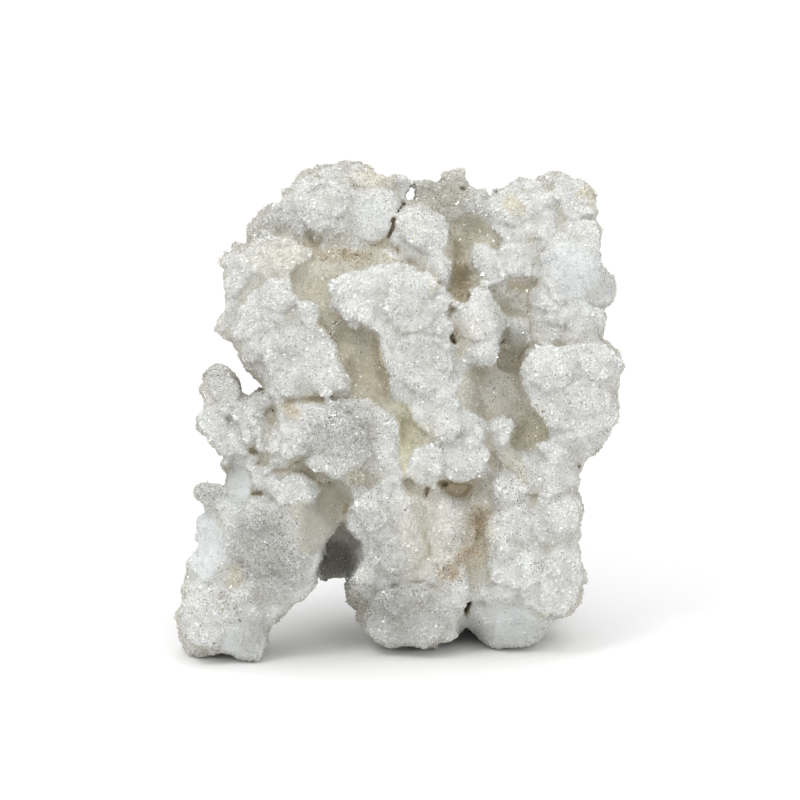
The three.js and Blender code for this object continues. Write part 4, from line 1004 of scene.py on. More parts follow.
def skin(field):
    """Vertices and four-cornered faces of the surface where the field is zero."""
    inside = field < 0
    cut = [n - 1 for n in field.shape]
    some = np.zeros(cut, bool)
    every = np.ones(cut, bool)
    for corner in CORNERS:
        window = tuple(slice(first, first + n) for first, n in zip(corner, cut))
        some |= inside[window]
        every &= inside[window]
    cells = np.argwhere(some & ~every)
    number = np.full(cut, -1, np.int64)
    number[tuple(cells.T)] = np.arange(len(cells))
    total = np.zeros((len(cells), 3))
    crossings = np.zeros(len(cells))
    for a in CORNERS:
        for axis in range(3):
            if a[axis]:
                continue
            b = np.array(a)
            b[axis] = 1
            at, to = field[tuple((cells + a).T)], field[tuple((cells + b).T)]
            cross = (at < 0) != (to < 0)
            t = np.where(cross, at / np.where(cross, at - to, 1), 0)
            point = np.array(a) + t[:, None] * (b - a)
            total += point * cross[:, None]
            crossings += cross
    vertices = cells + total / crossings[:, None]
    faces = []
    for axis in range(3):
        ahead = [slice(1, -1)] * 3
        ahead[axis] = slice(1, None)
        here = [slice(1, -1)] * 3
        here[axis] = slice(0, -1)
        low, high = inside[tuple(here)], inside[tuple(ahead)]
        u, v = [i for i in range(3) if i != axis]
        if axis == 1:
            u, v = v, u
        for leaves in (True, False):
            edges = np.argwhere((low & ~high) if leaves else (high & ~low))
            edges[:, u] += 1
            edges[:, v] += 1
            ring = []
            for du, dv in ((-1, -1), (0, -1), (0, 0), (-1, 0)):
                cell = edges.copy()
                cell[:, u] += du
                cell[:, v] += dv
                ring.append(number[tuple(cell.T)])
            ring = np.stack(ring, 1)
            faces.append(ring if leaves else ring[:, ::-1])
    return vertices, np.concatenate(faces)


def largest_shell(vertices, faces):
    """Drops what isn't joined to the largest surface: sealed cavities and loose bits."""
    label = np.arange(len(vertices))
    edges = np.concatenate([faces[:, [0, 1]], faces[:, [1, 2]], faces[:, [2, 3]]])
    while True:
        lowest = np.minimum(label[edges[:, 0]], label[edges[:, 1]])
        before = label.copy()
        np.minimum.at(label, edges[:, 0], lowest)
        np.minimum.at(label, edges[:, 1], lowest)
        label = label[label]
        if (label == before).all():
            break
    kept = label == np.bincount(label).argmax()
    index = np.cumsum(kept) - 1
    return vertices[kept], index[faces[kept[faces[:, 0]]]]


def to_row(points):
    """From the face's axes in millimetres to the row frame in metres."""
    x, h, w = points.T
    y = h * math.sin(LEAN) - w * math.cos(LEAN)
    z = h * math.cos(LEAN) + w * math.sin(LEAN)
    row = np.stack([x, y, z], 1) * MM + np.array(SHIFT)
    row[:, 2] = np.maximum(row[:, 2], 0)
    return row


def turned_to_face(directions):
    """Directions of the row frame as they are on the face's axes."""
    x, y, z = directions.T
    height = y * math.sin(LEAN) + z * math.cos(LEAN)
    depth = z * math.sin(LEAN) - y * math.cos(LEAN)
    return np.stack([x, height, depth], 1)


def to_face(points):
    """From the row frame in metres to the face's axes in millimetres."""
    return turned_to_face((points - np.array(SHIFT)) / MM)


def sample(field, points):
    """A field's values at points on the face's axes."""
    place = (points - np.array(LOW)) / STEP
    place = np.clip(place, 0, np.array(SHAPE) - 1.001)
    base = place.astype(int)
    t = place - base
    value = 0
    for corner in CORNERS:
        share = np.prod([t[:, i] if corner[i] else 1 - t[:, i] for i in range(3)], 0)
        value = value + field[tuple((base + corner).T)] * share
    return value


def mesh_object(name, vertices, faces, smooth):
    """A mesh from arrays: faces all have the same number of corners."""
    mesh = bpy.data.meshes.new(name)
    corners = faces.shape[1]
    mesh.vertices.add(len(vertices))
    mesh.vertices.foreach_set("co", np.ascontiguousarray(vertices, np.float32).ravel())
    mesh.loops.add(faces.size)
    mesh.loops.foreach_set("vertex_index", np.ascontiguousarray(faces, np.int32).ravel())
    mesh.polygons.add(len(faces))
    mesh.polygons.foreach_set("loop_start", np.arange(0, faces.size, corners, dtype=np.int32))
    mesh.polygons.foreach_set("use_smooth", np.full(len(faces), smooth))
    mesh.update(calc_edges=True)
    mesh.validate()
    made = bpy.data.objects.new(name, mesh)
    bpy.context.scene.collection.objects.link(made)
    return made


def thinned(piece, triangles, group=""):
    """The piece collapsed to about that many triangles, and only in a group of its vertices if named."""
    mesh = piece.data
    mesh.calc_loop_triangles()
    modifier = piece.modifiers.new("thin", "DECIMATE")
    modifier.ratio = min(1.0, triangles / len(mesh.loop_triangles))
    modifier.vertex_group = group
    depsgraph = bpy.context.evaluated_depsgraph_get()
    made = bpy.data.meshes.new_from_object(piece.evaluated_get(depsgraph))
    piece.modifiers.clear()
    piece.data = made
    made.name = piece.name
    bpy.data.meshes.remove(mesh)
    return piece


def arrays_of(mesh):
    """Corners, their normals and the triangles of a mesh."""
    places = np.empty(len(mesh.vertices) * 3, np.float32)
    mesh.vertices.foreach_get("co", places)
    normals = np.empty(len(mesh.vertices) * 3, np.float32)
    mesh.vertices.foreach_get("normal", normals)
    mesh.calc_loop_triangles()
    triangles = np.empty(len(mesh.loop_triangles) * 3, np.int32)
    mesh.loop_triangles.foreach_get("vertices", triangles)
    return places.reshape(-1, 3), normals.reshape(-1, 3), triangles.reshape(-1, 3)


# Spots of colour, as seen on the face: stain, x, height, half width, half height, turn, strength and,
# for a spot at the back of a gap, the depth that it lies behind. They are soft and reach only what
# lies near the front there.
SPOTS = [
    # painted shadow at the back of the gap between the left and the middle leg
    ("gap_shadow", -15.6, 19.6, 5, 6, 0, 0.9, 8),
    # Duller parts: partly grime in the crust, partly painted shade where less light reaches, strongest on
    # the lower parts.
    ("fawn", 25.5, 80.5, 5, 5, 0, 0.45),
    ("fawn", 27.5, 73.5, 4, 5, 0, 0.3),
    ("grime_and_shade", -33, 23, 10, 11, 0, 0.75),
    ("grime_and_shade", -30, 14, 8, 7, 0, 0.5),
    ("grime_and_shade", -36, 1, 5, 6, 0, 0.6),
    ("grime_and_shade", 3, 72, 9, 14, 20, 0.25),
    ("grime_and_shade", -29, 70, 9, 11, 0, 0.25),
    ("grime_and_shade", -14, 101, 14, 8, 0, 0.15),
    ("grime_and_shade", -3, 22, 6, 11, 0, 0.45),
    ("grime_and_shade", 1.2, 6.7, 12, 8, 0, 0.7),
    ("grime_and_shade", -14, 49, 10, 8, 0, 0.6),
    ("grime_and_shade", -36, 54, 8, 6, 0, 0.4),
    ("grime_and_shade", 27, 1, 10, 4, 0, 0.3),
    ("grime_and_shade", 10.8, 107, 6, 4, 0, 0.4),
    ("fawn", 11, 106.5, 8, 5, 0, 0.8),
    ("fawn", 16, 98, 4, 4, 0, 0.4),
    ("grime_and_shade", -29.5, 100, 7, 4, 20, 0.3),
    ("grime_and_shade", -45.6, 35, 4, 3, 0, 0.6),
    ("grime_and_shade", -44.6, 63, 3, 4, 0, 0.4),
    # Brown iron stain and the grime of crevices.
    ("brown", -14, 91.5, 10, 2.2, -2, 1.0),
    ("brown", -13, 92, 2.6, 1.2, 0, 0.9),
    ("brown", -19.5, 110.4, 1.4, 1.2, 0, 0.7),
    ("brown", -20.5, 95, 2.6, 1.0, -50, 0.6),
    ("brown", 0.2, 90.4, 2.4, 0.7, -55, 0.5),
    ("tan", 18.2, 26, 4.4, 11, 0, 0.5),
    ("tan", 14.5, 18, 5, 5, 20, 0.3),
    ("brown", 18.8, 27.8, 2.6, 6, 0, 0.7),
    ("rust", 18.6, 27, 2, 4, 0, 0.4),
    ("rust", 15.6, 19.6, 3.4, 3.4, 0, 0.9),
    ("rust", 11.8, 15.6, 4, 3.2, 20, 0.9),
    ("grime_and_shade", 19.5, 4.5, 4, 6, 0, 0.5),
    ("brown", 4.6, 7.2, 2.4, 1.6, 0, 0.5),
    ("brown", -10, 9, 3.2, 6, 0, 0.5),
    ("brown", 14.4, 83.4, 3, 4.4, 0, 1.0),
    ("tan", -26, 54.6, 3.4, 2.2, -30, 0.6),
    ("brown", -12.8, 32, 2, 4.4, -10, 0.7),
    ("brown", 12, 36, 4, 2, 0, 0.6),
    ("brown", 27, 84.4, 3, 2, 0, 0.6),
    # painted shade along the tongue's overhanging edge and down a narrow recess
    ("olive", -4.6, 65, 1.5, 8, 13, 0.8),
    ("olive", 13.4, 88, 1.8, 6, 0, 0.5),
    # Warm, creamy parts.
    ("cream", -29, 91.4, 8.5, 5.5, 0, 0.5),
    ("cream", -13.2, 68.8, 2.4, 2, 0, 0.9),
    ("cream", 6.5, 26, 8, 15, 0, 0.4),
    ("ochre", 44, 105, 3.2, 4.4, 0, 0.9),
    ("ochre", 27.4, 103.8, 3.4, 3.2, 0, 0.9),
    ("ochre", 3.5, 97, 5, 5, 0, 0.2),
    ("cream", -6.5, 110.3, 5, 3.4, 0, 0.7),
    ("cream", 5.5, 49.2, 4.5, 3.2, 0, 0.4),
    ("cream", 16, 74, 4, 5, 0, 0.3),
    # Yellow to green stain.
    ("yellow", -5.4, 63, 3.4, 5, -25, 0.9),
    ("yellow", 1.2, 50, 2.2, 8, 0, 0.9),
    ("yellow", 8, 83.6, 2, 2.4, 0, 0.6),
    ("olive", -10.2, 38.6, 3.2, 3.2, 0, 0.6),
    ("yellow", -10.2, 38.6, 3, 3, 0, 0.5),
    ("ochre", -39.6, 14.6, 2.6, 3.6, 0, 0.7),
    ("brown", -42.6, 8.6, 4, 3.6, 0, 0.35),
    ("yellow", 31.8, 50.6, 4.4, 5.4, 0, 0.7),
]
# Where dark grains pepper the crystals: x, height, half width, half height, strength.
PEPPER = [
    (-13, 49.5, 11, 8.5, 0.8),
    (-31, 21, 9, 10, 0.75),
    (-26.4, 20.4, 3.2, 2.4, 1.0),
    (33.4, 18, 2.6, 2.2, 0.9),
    (37.8, 34.4, 2.4, 3, 0.8),
    (29, 29, 9, 12, 0.4),
    (-35, 96.6, 4.6, 2.6, 0.9),
    (-29.5, 100.5, 6, 5, 0.45),
    (26, 40.6, 5.6, 3.2, 0.7),
    (-9.6, 8.6, 3.4, 5.6, 0.8),
    (16, 26, 5, 9, 0.5),
    (30, 51, 6, 5.6, 0.4),
    (6, 62, 6, 12, 0.3),
    (-13, 90.6, 9.5, 2.4, 0.7),
    (34.6, 109.6, 1.4, 0.8, 0.8),
    (-6, 27, 6, 12, 0.5),
    (42, 60, 8, 9, 0.35),
    (3, 8, 11, 5, 0.6),
    (-42, 9, 6, 5, 0.5),
    (24, 52, 6, 3, 0.3),
    (22, 60, 8, 6, 0.35),
    (5.5, 49, 4, 3, 0.4),
    (-23, 64, 8, 8, 0.2),
    (12, 45, 7, 5, 0.3),
    (24, 60, 7, 6, 0.3),
    (18.8, 26.5, 2.6, 6, 1.0),
    (15, 19, 4, 4, 1.0),
    (11.8, 15.4, 4, 3, 0.9),
    (-43, 8.4, 5, 4, 0.6),
    (-10.2, 38.6, 3, 3, 0.7),
    (11, 106, 7, 4, 0.4),
    (-7, 108, 8, 4, 0.3),
]
# Parts with larger, glassy crystals that glint.
GLASSY = [
    (-19.5, 100, 6, 7),
    (-29.5, 66, 8, 6),
    (-36, 54, 4, 2.8),
    (18, 103.6, 3, 3),
    (-16, 52, 7, 4),
    (-3.5, 47, 3.6, 7),
    (-15.6, 74, 3, 7),
    (-12, 81, 5, 6),
    (-2, 47, 3, 8),
    (36, 66, 6, 5),
    (37, 15, 6, 7),
]

# Colours of the mineral.
WHITE = (0.635, 0.64, 0.62)
# painted highlight: sharp edges and raised places are tinted lighter, for light that shows through thin
# rims and falls on high places
RIM_HIGHLIGHT = (0.78, 0.79, 0.77)  # on edges and high places
# BEIGE is partly the warm stain that gathers in crevices and deep places, partly painted shade; CREVICE
# and OLIVE are painted shade in low places and deep crevices
BEIGE = (0.64, 0.59, 0.47)  # in crevices and deep places
CREVICE = (0.50, 0.46, 0.36)  # in low places
OLIVE = (0.40, 0.35, 0.26)  # in deep crevices
STAINS = {
    "beige": (0.54, 0.505, 0.40),
    "fawn": (0.43, 0.415, 0.34),
    # olive: painted shade of deep, narrow recesses, and also a real yellow-olive stain
    "olive": (0.38, 0.33, 0.22),
    "tan": (0.54, 0.46, 0.31),
    "green": (0.64, 0.62, 0.43),
    "brown": (0.33, 0.255, 0.14),
    "rust": (0.40, 0.25, 0.07),
    "ochre": (0.60, 0.52, 0.33),
    "cream": (0.74, 0.70, 0.59),
    "yellow": (0.66, 0.62, 0.44),
    # duller grey: partly grime, partly painted shade
    "grime_and_shade": (0.40, 0.40, 0.37),
    # near black, for painted shadow at the back of a gap
    "gap_shadow": (0.20, 0.19, 0.15),
    "blue": (0.69, 0.73, 0.74),
}
FLECKED = ("brown", "rust", "yellow", "ochre")  # stains broken up into flecks
FLECKS = 0.5  # share of the crystals that such a stain colours in full
FLECK_REST = 0.25  # strength of the stain on the others
FLECK_GROUND = 0.4  # strength of the stain on the mass under them
GRAIN_TINT = (0.12, 0.10, 0.08)
# painted glint: the near white that bright crystals are tinted towards
GLINT = (0.97, 0.98, 1.0)

# What the colours and the crust go by.
CLOSE = (3, 1.2)  # what is near a place: grid points around it, millimetres out from the skin
WIDE = (8, 2.5)  # what is around it further off
CREVICE_FILL = (0.34, 0.70)  # share of the room near by that is solid: where a crevice begins, deep in it
EDGE_FILL = (0.26, 0.08)  # the same for a sharp edge
DEEP_FILL = (0.38, 0.80)  # and, further off, for deep places
LEVELS = [(0.4, 2, 0.5), (0.5, 6, 1.6)]  # how raised a place is: weight, grid points around, full height
RAISED = (4, 1.5)  # depths behind the front between which that fades in
SEEN = (9, 4)  # depths behind the front between which stains fade in
PATCH_NOISE = (3.2, 31)  # distance between patches of colour, seed
GRAIN_NOISE = (1.4, 32)  # the same for finer ones
SPOT_OVAL = (1.35, 0.35)  # how far out in its oval a spot of colour begins, and is there in full
BALD_OVAL = (1.1, 0.85)  # the same for a bare part
HOLLOW_EDGE = (0.5, -0.3)  # the same for a hollow, as distances from its outline
PEPPER_REST = 0.35  # share of the pepper that isn't in clusters
BEHIND_EDGE = 1.5  # half the width of the edge of what lies behind a depth


def soft_spot(x, h, spot, turn=0.0):
    """How far into an oval spot each point lies: 1 at its middle, 0 beyond its edge."""
    return smooth_step(*SPOT_OVAL, oval(x, h, spot, turn))


class Surroundings:
    """What the colours and the crust go by: how enclosed a place is, how near the front, and noise."""

    def __init__(self, field):
        solid = (field < 0).astype(np.float32)
        self.close = box_blur(solid, CLOSE[0])
        self.wide = box_blur(solid, WIDE[0])
        self.front = front_depth(field)
        self.patches = noise_field(*PATCH_NOISE)
        self.grains = noise_field(*GRAIN_NOISE)
        shown = self.front > LOW[2]
        self.levels = [
            (weight, self.front - blurred_within(self.front, shown, reach), full)
            for weight, reach, full in LEVELS
        ]
        self.charts = [outline_map(outline) for *_, outline in HOLLOWS]

    def read(self, places, normals):
        """Reads what lies around points on the face's axes with their normals."""
        close = sample(self.close, places + CLOSE[1] * normals)
        self.crevice = smooth_step(*CREVICE_FILL, close)
        self.edge = smooth_step(*EDGE_FILL, close)
        self.deep = smooth_step(*DEEP_FILL, sample(self.wide, places + WIDE[1] * normals))
        column = column_of(places)
        self.depth = places[:, 2]
        self.behind = self.front[column] - self.depth
        self.seen = smooth_step(*SEEN, self.behind)
        levels = [weight * np.clip(level[column] / full, -1, 1) for weight, level, full in self.levels]
        self.raised = sum(levels)
        self.raised *= smooth_step(*RAISED, self.behind)
        self.patch = sample(self.patches, places)
        self.grain = sample(self.grains, places)
        self.x, self.h = seen_from_front(places[:, 0], places[:, 1], self.depth)
        wavy = 0.35 * self.patch + 0.35 * self.grain
        distances = [read_map(chart, self.x, self.h) + wavy for chart in self.charts]
        self.hollows = [smooth_step(*HOLLOW_EDGE, distance) * self.seen for distance in distances]
        self.bare = np.max([bare * share for (_, _, bare, _, _), share in zip(HOLLOWS, self.hollows)], 0)
        ovals = [(spot[4], oval(self.x, self.h, spot) + 0.3 * wavy) for spot in BARE]
        self.bald = np.max([bald * smooth_step(*BALD_OVAL, out) for bald, out in ovals], 0) * self.seen

    def tint(self, random=None):
        """The mineral's colour at the points. With random each is stained or not, as crystals are."""
        tint = np.tile(np.array(WHITE), (len(self.x), 1))
        for colour, share in (
            # painted highlights on sharp edges and raised places
            (RIM_HIGHLIGHT, self.edge * (0.4 + 0.6 * self.seen)),
            (RIM_HIGHLIGHT, 0.6 * np.clip(self.raised, 0, 1)),
            # painted shade in crevices, low places and deep places, partly also the warm stain there
            (BEIGE, np.clip(0.65 * self.crevice + 0.75 * self.deep + 0.10 * self.patch, 0, 1)),
            (CREVICE, 0.45 * np.clip(-self.raised, 0, 1)),
            (OLIVE, np.clip(self.deep * self.crevice * 0.75 - 0.25, 0, 1)),
            (STAINS["blue"], 0.7 * self.bald),
        ):
            tint = mixed(tint, colour, share)
        mottled = 0.85 + 0.15 * np.clip(self.patch + self.grain, -1, 1)
        for (name, strength, *_), share in zip(HOLLOWS, self.hollows):
            tint = mixed(tint, STAINS[name], share * strength * mottled)
        for name, x, h, half_x, half_h, turn, strength, *behind in SPOTS:
            spot = soft_spot(self.x, self.h, (x, h, half_x, half_h), turn) * self.seen
            if behind:
                spot = spot * smooth_step(behind[0] + BEHIND_EDGE, behind[0] - BEHIND_EDGE, self.depth)
            if name in FLECKED:
                spot = spot * smooth_step(-0.2, 0.7, self.patch * 0.6 + self.grain * 0.7 + spot - 0.35)
            share = spot * strength
            if name in FLECKED and random is None:
                share = FLECK_GROUND * share
            elif name in FLECKED:
                hit = random.random(len(share)) < FLECKS * share
                share = np.where(hit, random.uniform(0.5, 1.0, len(share)), FLECK_REST * share)
            tint = mixed(tint, STAINS[name], share)
        return tint * (1 + 0.03 * self.patch + 0.02 * self.grain)[:, None]

    def pepper(self):
        """How peppered each point is, in clusters."""
        clusters = smooth_step(-0.5, 0.7, self.patch + 0.6 * self.grain)
        return self.spots(PEPPER) * (PEPPER_REST + (1 - PEPPER_REST) * clusters)

    def spots(self, table):
        """The strongest of a table's spots at each point."""
        most = np.zeros(len(self.x))
        for spot in table:
            strength = spot[4] if len(spot) > 4 else 1.0
            most = np.maximum(most, strength * soft_spot(self.x, self.h, spot) * self.seen)
        return most


def mixed(tint, other, share):
    return tint + (np.array(other) - tint) * np.asarray(share)[:, None]


def add_tint(mesh, tint, pepper, gloss=None):
    """Writes colours, one a vertex, how peppered and how shiny each is, where the materials read them."""
    colour = mesh.attributes.new("tint", "FLOAT_COLOR", "POINT")
    values = np.ones((len(mesh.vertices), 4), np.float32)
    values[:, :3] = np.clip(tint, 0, 1)
    colour.data.foreach_set("color", values.ravel())
    for name, each in (("pepper", pepper), ("gloss", gloss)):
        if each is not None:
            attribute = mesh.attributes.new(name, "FLOAT", "POINT")
            attribute.data.foreach_set("value", np.ascontiguousarray(each, np.float32))


def picked(random, shares, where):
    """Which crystals are picked at random: a share of all, and more of them where it says."""
    return random.random(len(where)) < shares[0] + shares[1] * where


def crust_places(body, around, random):
    """Where the crystals sit on the body, and which way is out there."""
    places, normals, triangles = arrays_of(body.data)
    corners = places[triangles]
    sides = np.cross(corners[:, 1] - corners[:, 0], corners[:, 2] - corners[:, 0])
    area = np.linalg.norm(sides, axis=1) / 2 + 1e-15
    facing = sides / (2 * area)[:, None]
    middle = corners.mean(1)
    around.read(to_face(middle), turned_to_face(facing))
    wanted = np.where(around.behind < CRUST_SHOWN, 1.0, REAR_CRUST)
    wanted *= 1 - around.bald
    wanted *= 1 - around.bare
    wanted *= 1 - CREVICE_LOSS * around.crevice
    wanted *= 1 + PEPPER_GAIN * around.spots(PEPPER)
    wanted[middle[:, 2] < CRUST_LOW * MM] = 0
    chance = area * wanted
    count = CRYSTALS * CRUST_PIECES
    chosen = random.choice(len(area), count, p=chance / chance.sum())
    u, v = random.random((2, count))
    over = u + v > 1
    u[over], v[over] = 1 - u[over], 1 - v[over]
    at = corners[chosen]
    base = at[:, 0] + (at[:, 1] - at[:, 0]) * u[:, None] + (at[:, 2] - at[:, 0]) * v[:, None]
    smooth = normals[triangles[chosen]].mean(1)
    return base, smooth / np.linalg.norm(smooth, axis=1)[:, None]


def crystal_shapes(size, out, edge, glassy, random):
    """The crystals' corners as seen from their middles, and which crystals are bright."""
    turns = random_turns(random, len(size))
    grain = np.array([(1, 1, 1), (1, -1, -1), (-1, 1, -1), (-1, -1, 1)]) / math.sqrt(3)
    corners = np.einsum("nij,kj->nki", turns, grain) * (GRAIN * MM * size)[:, None, None]
    height = np.einsum("nki,ni->nk", corners, out)
    standing = STANDING[0] + STANDING[1] * edge
    corners += standing[:, None, None] * height[:, :, None] * out[:, None, :]
    blade = np.array(STREAK) + random.normal(0, STREAK_SPREAD, (len(size), 3))
    blade -= (blade * out).sum(1)[:, None] * out
    blade /= np.linalg.norm(blade, axis=1)[:, None]
    bright = picked(random, BRIGHT, glassy)
    long = picked(random, LONG, glassy)
    longer = np.where(long | bright, random.uniform(*LENGTHS, len(size)), 0)
    along = np.einsum("nki,ni->nk", corners, blade) * longer[:, None]
    corners += along[:, :, None] * blade[:, None, :]
    corners *= (1 - SLIMMER * longer)[:, None, None]
    return corners, bright


def grow_crust(body, around):
    """Small crystals all over the body, in pieces from its left to its right."""
    random = np.random.default_rng(CRUST_SEED)
    base, out = crust_places(body, around, random)
    around.read(to_face(base), turned_to_face(out))
    tint, pepper = around.tint(random), around.pepper()
    glassy = around.spots(GLASSY)
    size = np.exp(random.normal(0, GRAIN_SPREAD, len(base))) * (1 + EDGE_SIZE * around.edge)
    size *= 1 + REAR_SIZE * smooth_step(*REAR_START, around.behind)
    large = picked(random, LARGE, glassy)
    size[large] *= random.uniform(*LARGE_SIZES, large.sum())
    dark = picked(random, DARK, pepper)
    size[dark] *= DARK_SIZE
    corners, bright = crystal_shapes(size, out, around.edge, glassy, random)
    points = base[:, None, :] + corners
    keep = points[:, :, 2].min(1) > 0

    tint *= random.uniform(*SHADES, len(base))[:, None]
    tint[dark] = mixed(tint[dark], GRAIN_TINT, random.uniform(*DARK_SHARES, dark.sum()))
    # painted glints: bright crystals tinted towards near white
    tint[bright] = mixed(tint[bright], GLINT, random.uniform(*BRIGHT_SHARES, bright.sum()))
    gloss = np.clip(GLOSS[0] + GLOSS[1] * glassy + random.normal(0, GLOSS[2], len(base)), 0, 1)

    pieces = []
    order = np.argsort(base[:, 0], kind="stable")
    solid = np.array([[0, 1, 2], [0, 3, 1], [0, 2, 3], [1, 3, 2]])
    for n, part in enumerate(np.array_split(order, CRUST_PIECES)):
        part = part[keep[part]]
        faces = (solid[None] + 4 * np.arange(len(part))[:, None, None]).reshape(-1, 3)
        piece = mesh_object(f"crystals_{n + 1}", points[part].reshape(-1, 3), faces, False)
        add_tint(piece.data, *(np.repeat(each[part], 4, 0) for each in (tint, pepper, gloss)))
        pieces.append(piece)
    return pieces


def random_turns(random, count):
    """Rotation matrices that point every way alike."""
    q = random.normal(0, 1, (count, 4))
    w, x, y, z = (q / np.linalg.norm(q, axis=1)[:, None]).T
    rows = [
        [1 - 2 * (y * y + z * z), 2 * (x * y - z * w), 2 * (x * z + y * w)],
        [2 * (x * y + z * w), 1 - 2 * (x * x + z * z), 2 * (y * z - x * w)],
        [2 * (x * z - y * w), 2 * (y * z + x * w), 1 - 2 * (x * x + y * y)],
    ]
    return np.stack([np.stack(row, 1) for row in rows], 1)


# The materials.
SPECK_CELLS = 2700.0  # cells of fine specks in a metre
SPECK_SIZE = 0.36  # as a share of a cell
SPECK_SHARE = (0.015, 0.5)  # share of the cells with a dark speck: without pepper, and fully peppered
# the white specks are painted glints
WHITE_SPECKS = 0.95  # share of the cells without a white speck
SPECK_WHITE = (0.92, 0.92, 0.92)
MOTTLE = (0.9, 1.04)  # darkest and brightest shade that fine noise gives the tint
REFRACTION = 1.66  # of light in the crystals
SCATTER_TINT = (1.0, 0.95, 0.85)
SCATTER_REACH = 2.5  # how far light spreads under the skin, in millimetres
BUMP_HEIGHT = 0.25  # of the finest grain, in millimetres


def new_material(name):
    material = bpy.data.materials.new(name)
    material.use_nodes = True
    nodes, links = material.node_tree.nodes, material.node_tree.links
    return material, nodes, links, nodes["Principled BSDF"]


def read_attribute(nodes, name):
    """What is written on the mesh under a name."""
    attribute = nodes.new("ShaderNodeAttribute")
    attribute.attribute_name = name
    return attribute


def ranged(nodes, links, value, start, end):
    """A value that runs over one range, made to run over another."""
    change = nodes.new("ShaderNodeMapRange")
    change.inputs["From Min"].default_value, change.inputs["From Max"].default_value = start
    change.inputs["To Min"].default_value, change.inputs["To Max"].default_value = end
    links.new(value, change.inputs["Value"])
    return change.outputs["Result"]


def worked_out(nodes, links, how, one, other):
    """Two values, compared or multiplied."""
    step = nodes.new("ShaderNodeMath")
    step.operation = how
    links.new(one, step.inputs[0])
    if isinstance(other, float):
        step.inputs[1].default_value = other
    else:
        links.new(other, step.inputs[1])
    return step.outputs["Value"]


def specks(nodes, links, where, colour, result):
    """Fine dark specks where the mineral is peppered, and a few white ones as painted glints, laid over
    its colour.
    """
    cells = nodes.new("ShaderNodeTexVoronoi")
    cells.inputs["Scale"].default_value = SPECK_CELLS
    links.new(where, cells.inputs["Vector"])
    chance = nodes.new("ShaderNodeSeparateColor")
    links.new(cells.outputs["Color"], chance.inputs["Color"])
    pepper = read_attribute(nodes, "pepper")
    share = ranged(nodes, links, pepper.outputs["Fac"], (0, 1), SPECK_SHARE)
    few = worked_out(nodes, links, "LESS_THAN", chance.outputs["Red"], share)
    bright = worked_out(nodes, links, "GREATER_THAN", chance.outputs["Green"], WHITE_SPECKS)
    small = worked_out(nodes, links, "LESS_THAN", cells.outputs["Distance"], SPECK_SIZE)
    for some, tint in ((bright, SPECK_WHITE), (few, GRAIN_TINT)):
        layer = nodes.new("ShaderNodeMix")
        layer.data_type = "RGBA"
        links.new(worked_out(nodes, links, "MULTIPLY", some, small), layer.inputs["Factor"])
        links.new(colour, layer.inputs["A"])
        layer.inputs["B"].default_value = (*tint, 1)
        colour = layer.outputs["Result"]
    links.new(colour, result)


def mineral(name, grain, bump, roughness, subsurface):
    """A white mineral: its tint from the mesh, varied by fine noise, over a rough skin."""
    material, nodes, links, shader = new_material(name)
    tint = read_attribute(nodes, "tint")
    where = nodes.new("ShaderNodeTexCoord")
    noise = nodes.new("ShaderNodeTexNoise")
    noise.inputs["Scale"].default_value = grain
    noise.inputs["Detail"].default_value = 3
    links.new(where.outputs["Object"], noise.inputs["Vector"])
    colour = nodes.new("ShaderNodeVectorMath")
    colour.operation = "SCALE"
    links.new(tint.outputs["Color"], colour.inputs[0])
    links.new(ranged(nodes, links, noise.outputs["Fac"], (0.3, 0.7), MOTTLE), colour.inputs["Scale"])
    specks(nodes, links, where.outputs["Object"], colour.outputs["Vector"], shader.inputs["Base Color"])
    rough = noise.outputs["Fac"] if bump else read_attribute(nodes, "gloss").outputs["Fac"]
    links.new(ranged(nodes, links, rough, (0, 1), roughness), shader.inputs["Roughness"])
    if bump:
        raised = nodes.new("ShaderNodeBump")
        raised.inputs["Strength"].default_value = bump
        raised.inputs["Distance"].default_value = BUMP_HEIGHT * MM
        links.new(noise.outputs["Fac"], raised.inputs["Height"])
        links.new(raised.outputs["Normal"], shader.inputs["Normal"])
    shader.inputs["IOR"].default_value = REFRACTION
    if subsurface:
        shader.inputs["Subsurface Weight"].default_value = subsurface
        shader.inputs["Subsurface Radius"].default_value = SCATTER_TINT
        shader.inputs["Subsurface Scale"].default_value = SCATTER_REACH * MM
    return material


def soft_light(name, size, power, at, aim):
    data = bpy.data.lights.new(name, "AREA")
    data.shape = "DISK"
    data.size = size
    data.energy = power
    lamp = bpy.data.objects.new(name, data)
    lamp.location = at
    lamp.rotation_euler = (Vector(aim) - Vector(at)).to_track_quat("-Z", "Y").to_euler()
    bpy.context.scene.collection.objects.link(lamp)


# The mass.
field = grow_mass()
vertices, faces = skin(field)
vertices, faces = largest_shell(vertices, faces)
vertices = vertices * STEP + np.array(LOW)
body = mesh_object("aragonite_mass", to_row(vertices), faces, True)
rear = np.flatnonzero(hidden(vertices, field))
body.vertex_groups.new(name="rear").add(rear.tolist(), 1.0, "REPLACE")
body.data.calc_loop_triangles()
spared = len(body.data.loop_triangles) * (1 - len(rear) / len(vertices))
body = thinned(body, spared + REAR_TRIANGLES, "rear")
body.vertex_groups.clear()
body = thinned(body, TRIANGLES)
body.data.polygons.foreach_set("use_smooth", np.ones(len(body.data.polygons), bool))

around = Surroundings(field)
places, normals, _ = arrays_of(body.data)
around.read(to_face(places), turned_to_face(normals))
add_tint(body.data, around.tint(), around.pepper())
crust = grow_crust(body, around)

skin_mineral = mineral("aragonite_skin", grain=2200, bump=0.35, roughness=(0.60, 0.40), subsurface=0.5)
crystal_mineral = mineral("aragonite_crystals", grain=700, bump=0, roughness=(0.45, 0.05), subsurface=0)
body.data.materials.append(skin_mineral)
for piece in crust:
    piece.data.materials.append(crystal_mineral)
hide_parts(NODE)
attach(body, BODY)
for piece in crust:
    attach(piece, BODY)

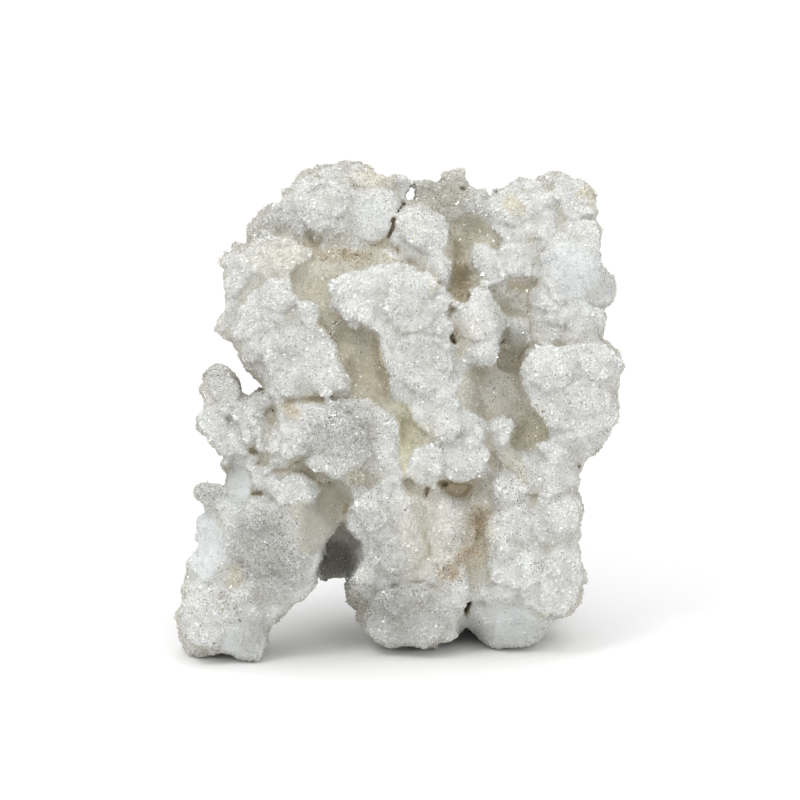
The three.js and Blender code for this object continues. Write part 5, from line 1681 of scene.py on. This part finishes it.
# A pale floor that fills the view.
FLOOR_HALF = 8.0
PAPER = (0.93, 0.93, 0.93)
PAPER_ROUGHNESS = 0.9
floor_mesh = bpy.data.meshes.new("floor")
floor_corners = [(x * FLOOR_HALF, y * FLOOR_HALF, 0) for x, y in ((-1, -1), (1, -1), (1, 1), (-1, 1))]
floor_mesh.from_pydata(floor_corners, [], [(0, 1, 2, 3)])
floor = bpy.data.objects.new("floor", floor_mesh)
bpy.context.scene.collection.objects.link(floor)
paper, _, _, shader = new_material("floor_paper")
shader.inputs["Base Color"].default_value = (*PAPER, 1)
shader.inputs["Roughness"].default_value = PAPER_ROUGHNESS
floor_mesh.materials.append(paper)

# Soft light from above and the front, in a white room.
ROOM_LIGHT = (0.62, 1.32)  # at the height of the floor and straight above
LAMPS = [  # name, width, power, place
    ("key", 0.22, 1.3, (-0.3, -0.45, 0.7)),
    ("glint_right", 0.14, 0.6, (0.45, -0.75, 0.3)),
    ("glint_left", 0.12, 0.35, (-0.6, -0.7, 0.35)),
    ("glint_top", 0.12, 0.35, (0.15, -0.5, 0.85)),
]
LAMP_AIM = (0, 0, 0.055)
world = bpy.data.worlds.new("room")
world.use_nodes = True
nodes, links = world.node_tree.nodes, world.node_tree.links
direction = nodes.new("ShaderNodeTexCoord")
axes = nodes.new("ShaderNodeSeparateXYZ")
links.new(direction.outputs["Generated"], axes.inputs["Vector"])
brightness = ranged(nodes, links, axes.outputs["Z"], (0, 1), ROOM_LIGHT)
links.new(brightness, nodes["Background"].inputs["Strength"])
nodes["Background"].inputs["Color"].default_value = (1, 1, 1, 1)
bpy.context.scene.world = world
for name, width, power, place in LAMPS:
    soft_light(name, width, power, place, LAMP_AIM)

# The camera looks square at the leaning face.
LENS = 206.25
up = Vector((0, math.sin(LEAN), math.cos(LEAN)))
back = Vector((0, -math.cos(LEAN), math.sin(LEAN)))
aim = up * (EYE_LEVEL * MM) + SHIFT
camera_data = bpy.data.cameras.new("camera")
camera_data.sensor_width = 36
camera_data.lens = LENS
camera_data.clip_start = 0.05
camera = bpy.data.objects.new("camera", camera_data)
camera.location = aim + back * (VIEW_DISTANCE * MM)
camera.rotation_euler = (-back).to_track_quat("-Z", "Y").to_euler()
bpy.context.scene.collection.objects.link(camera)
bpy.context.scene.camera = camera
bpy.context.scene.view_settings.view_transform = "Standard"
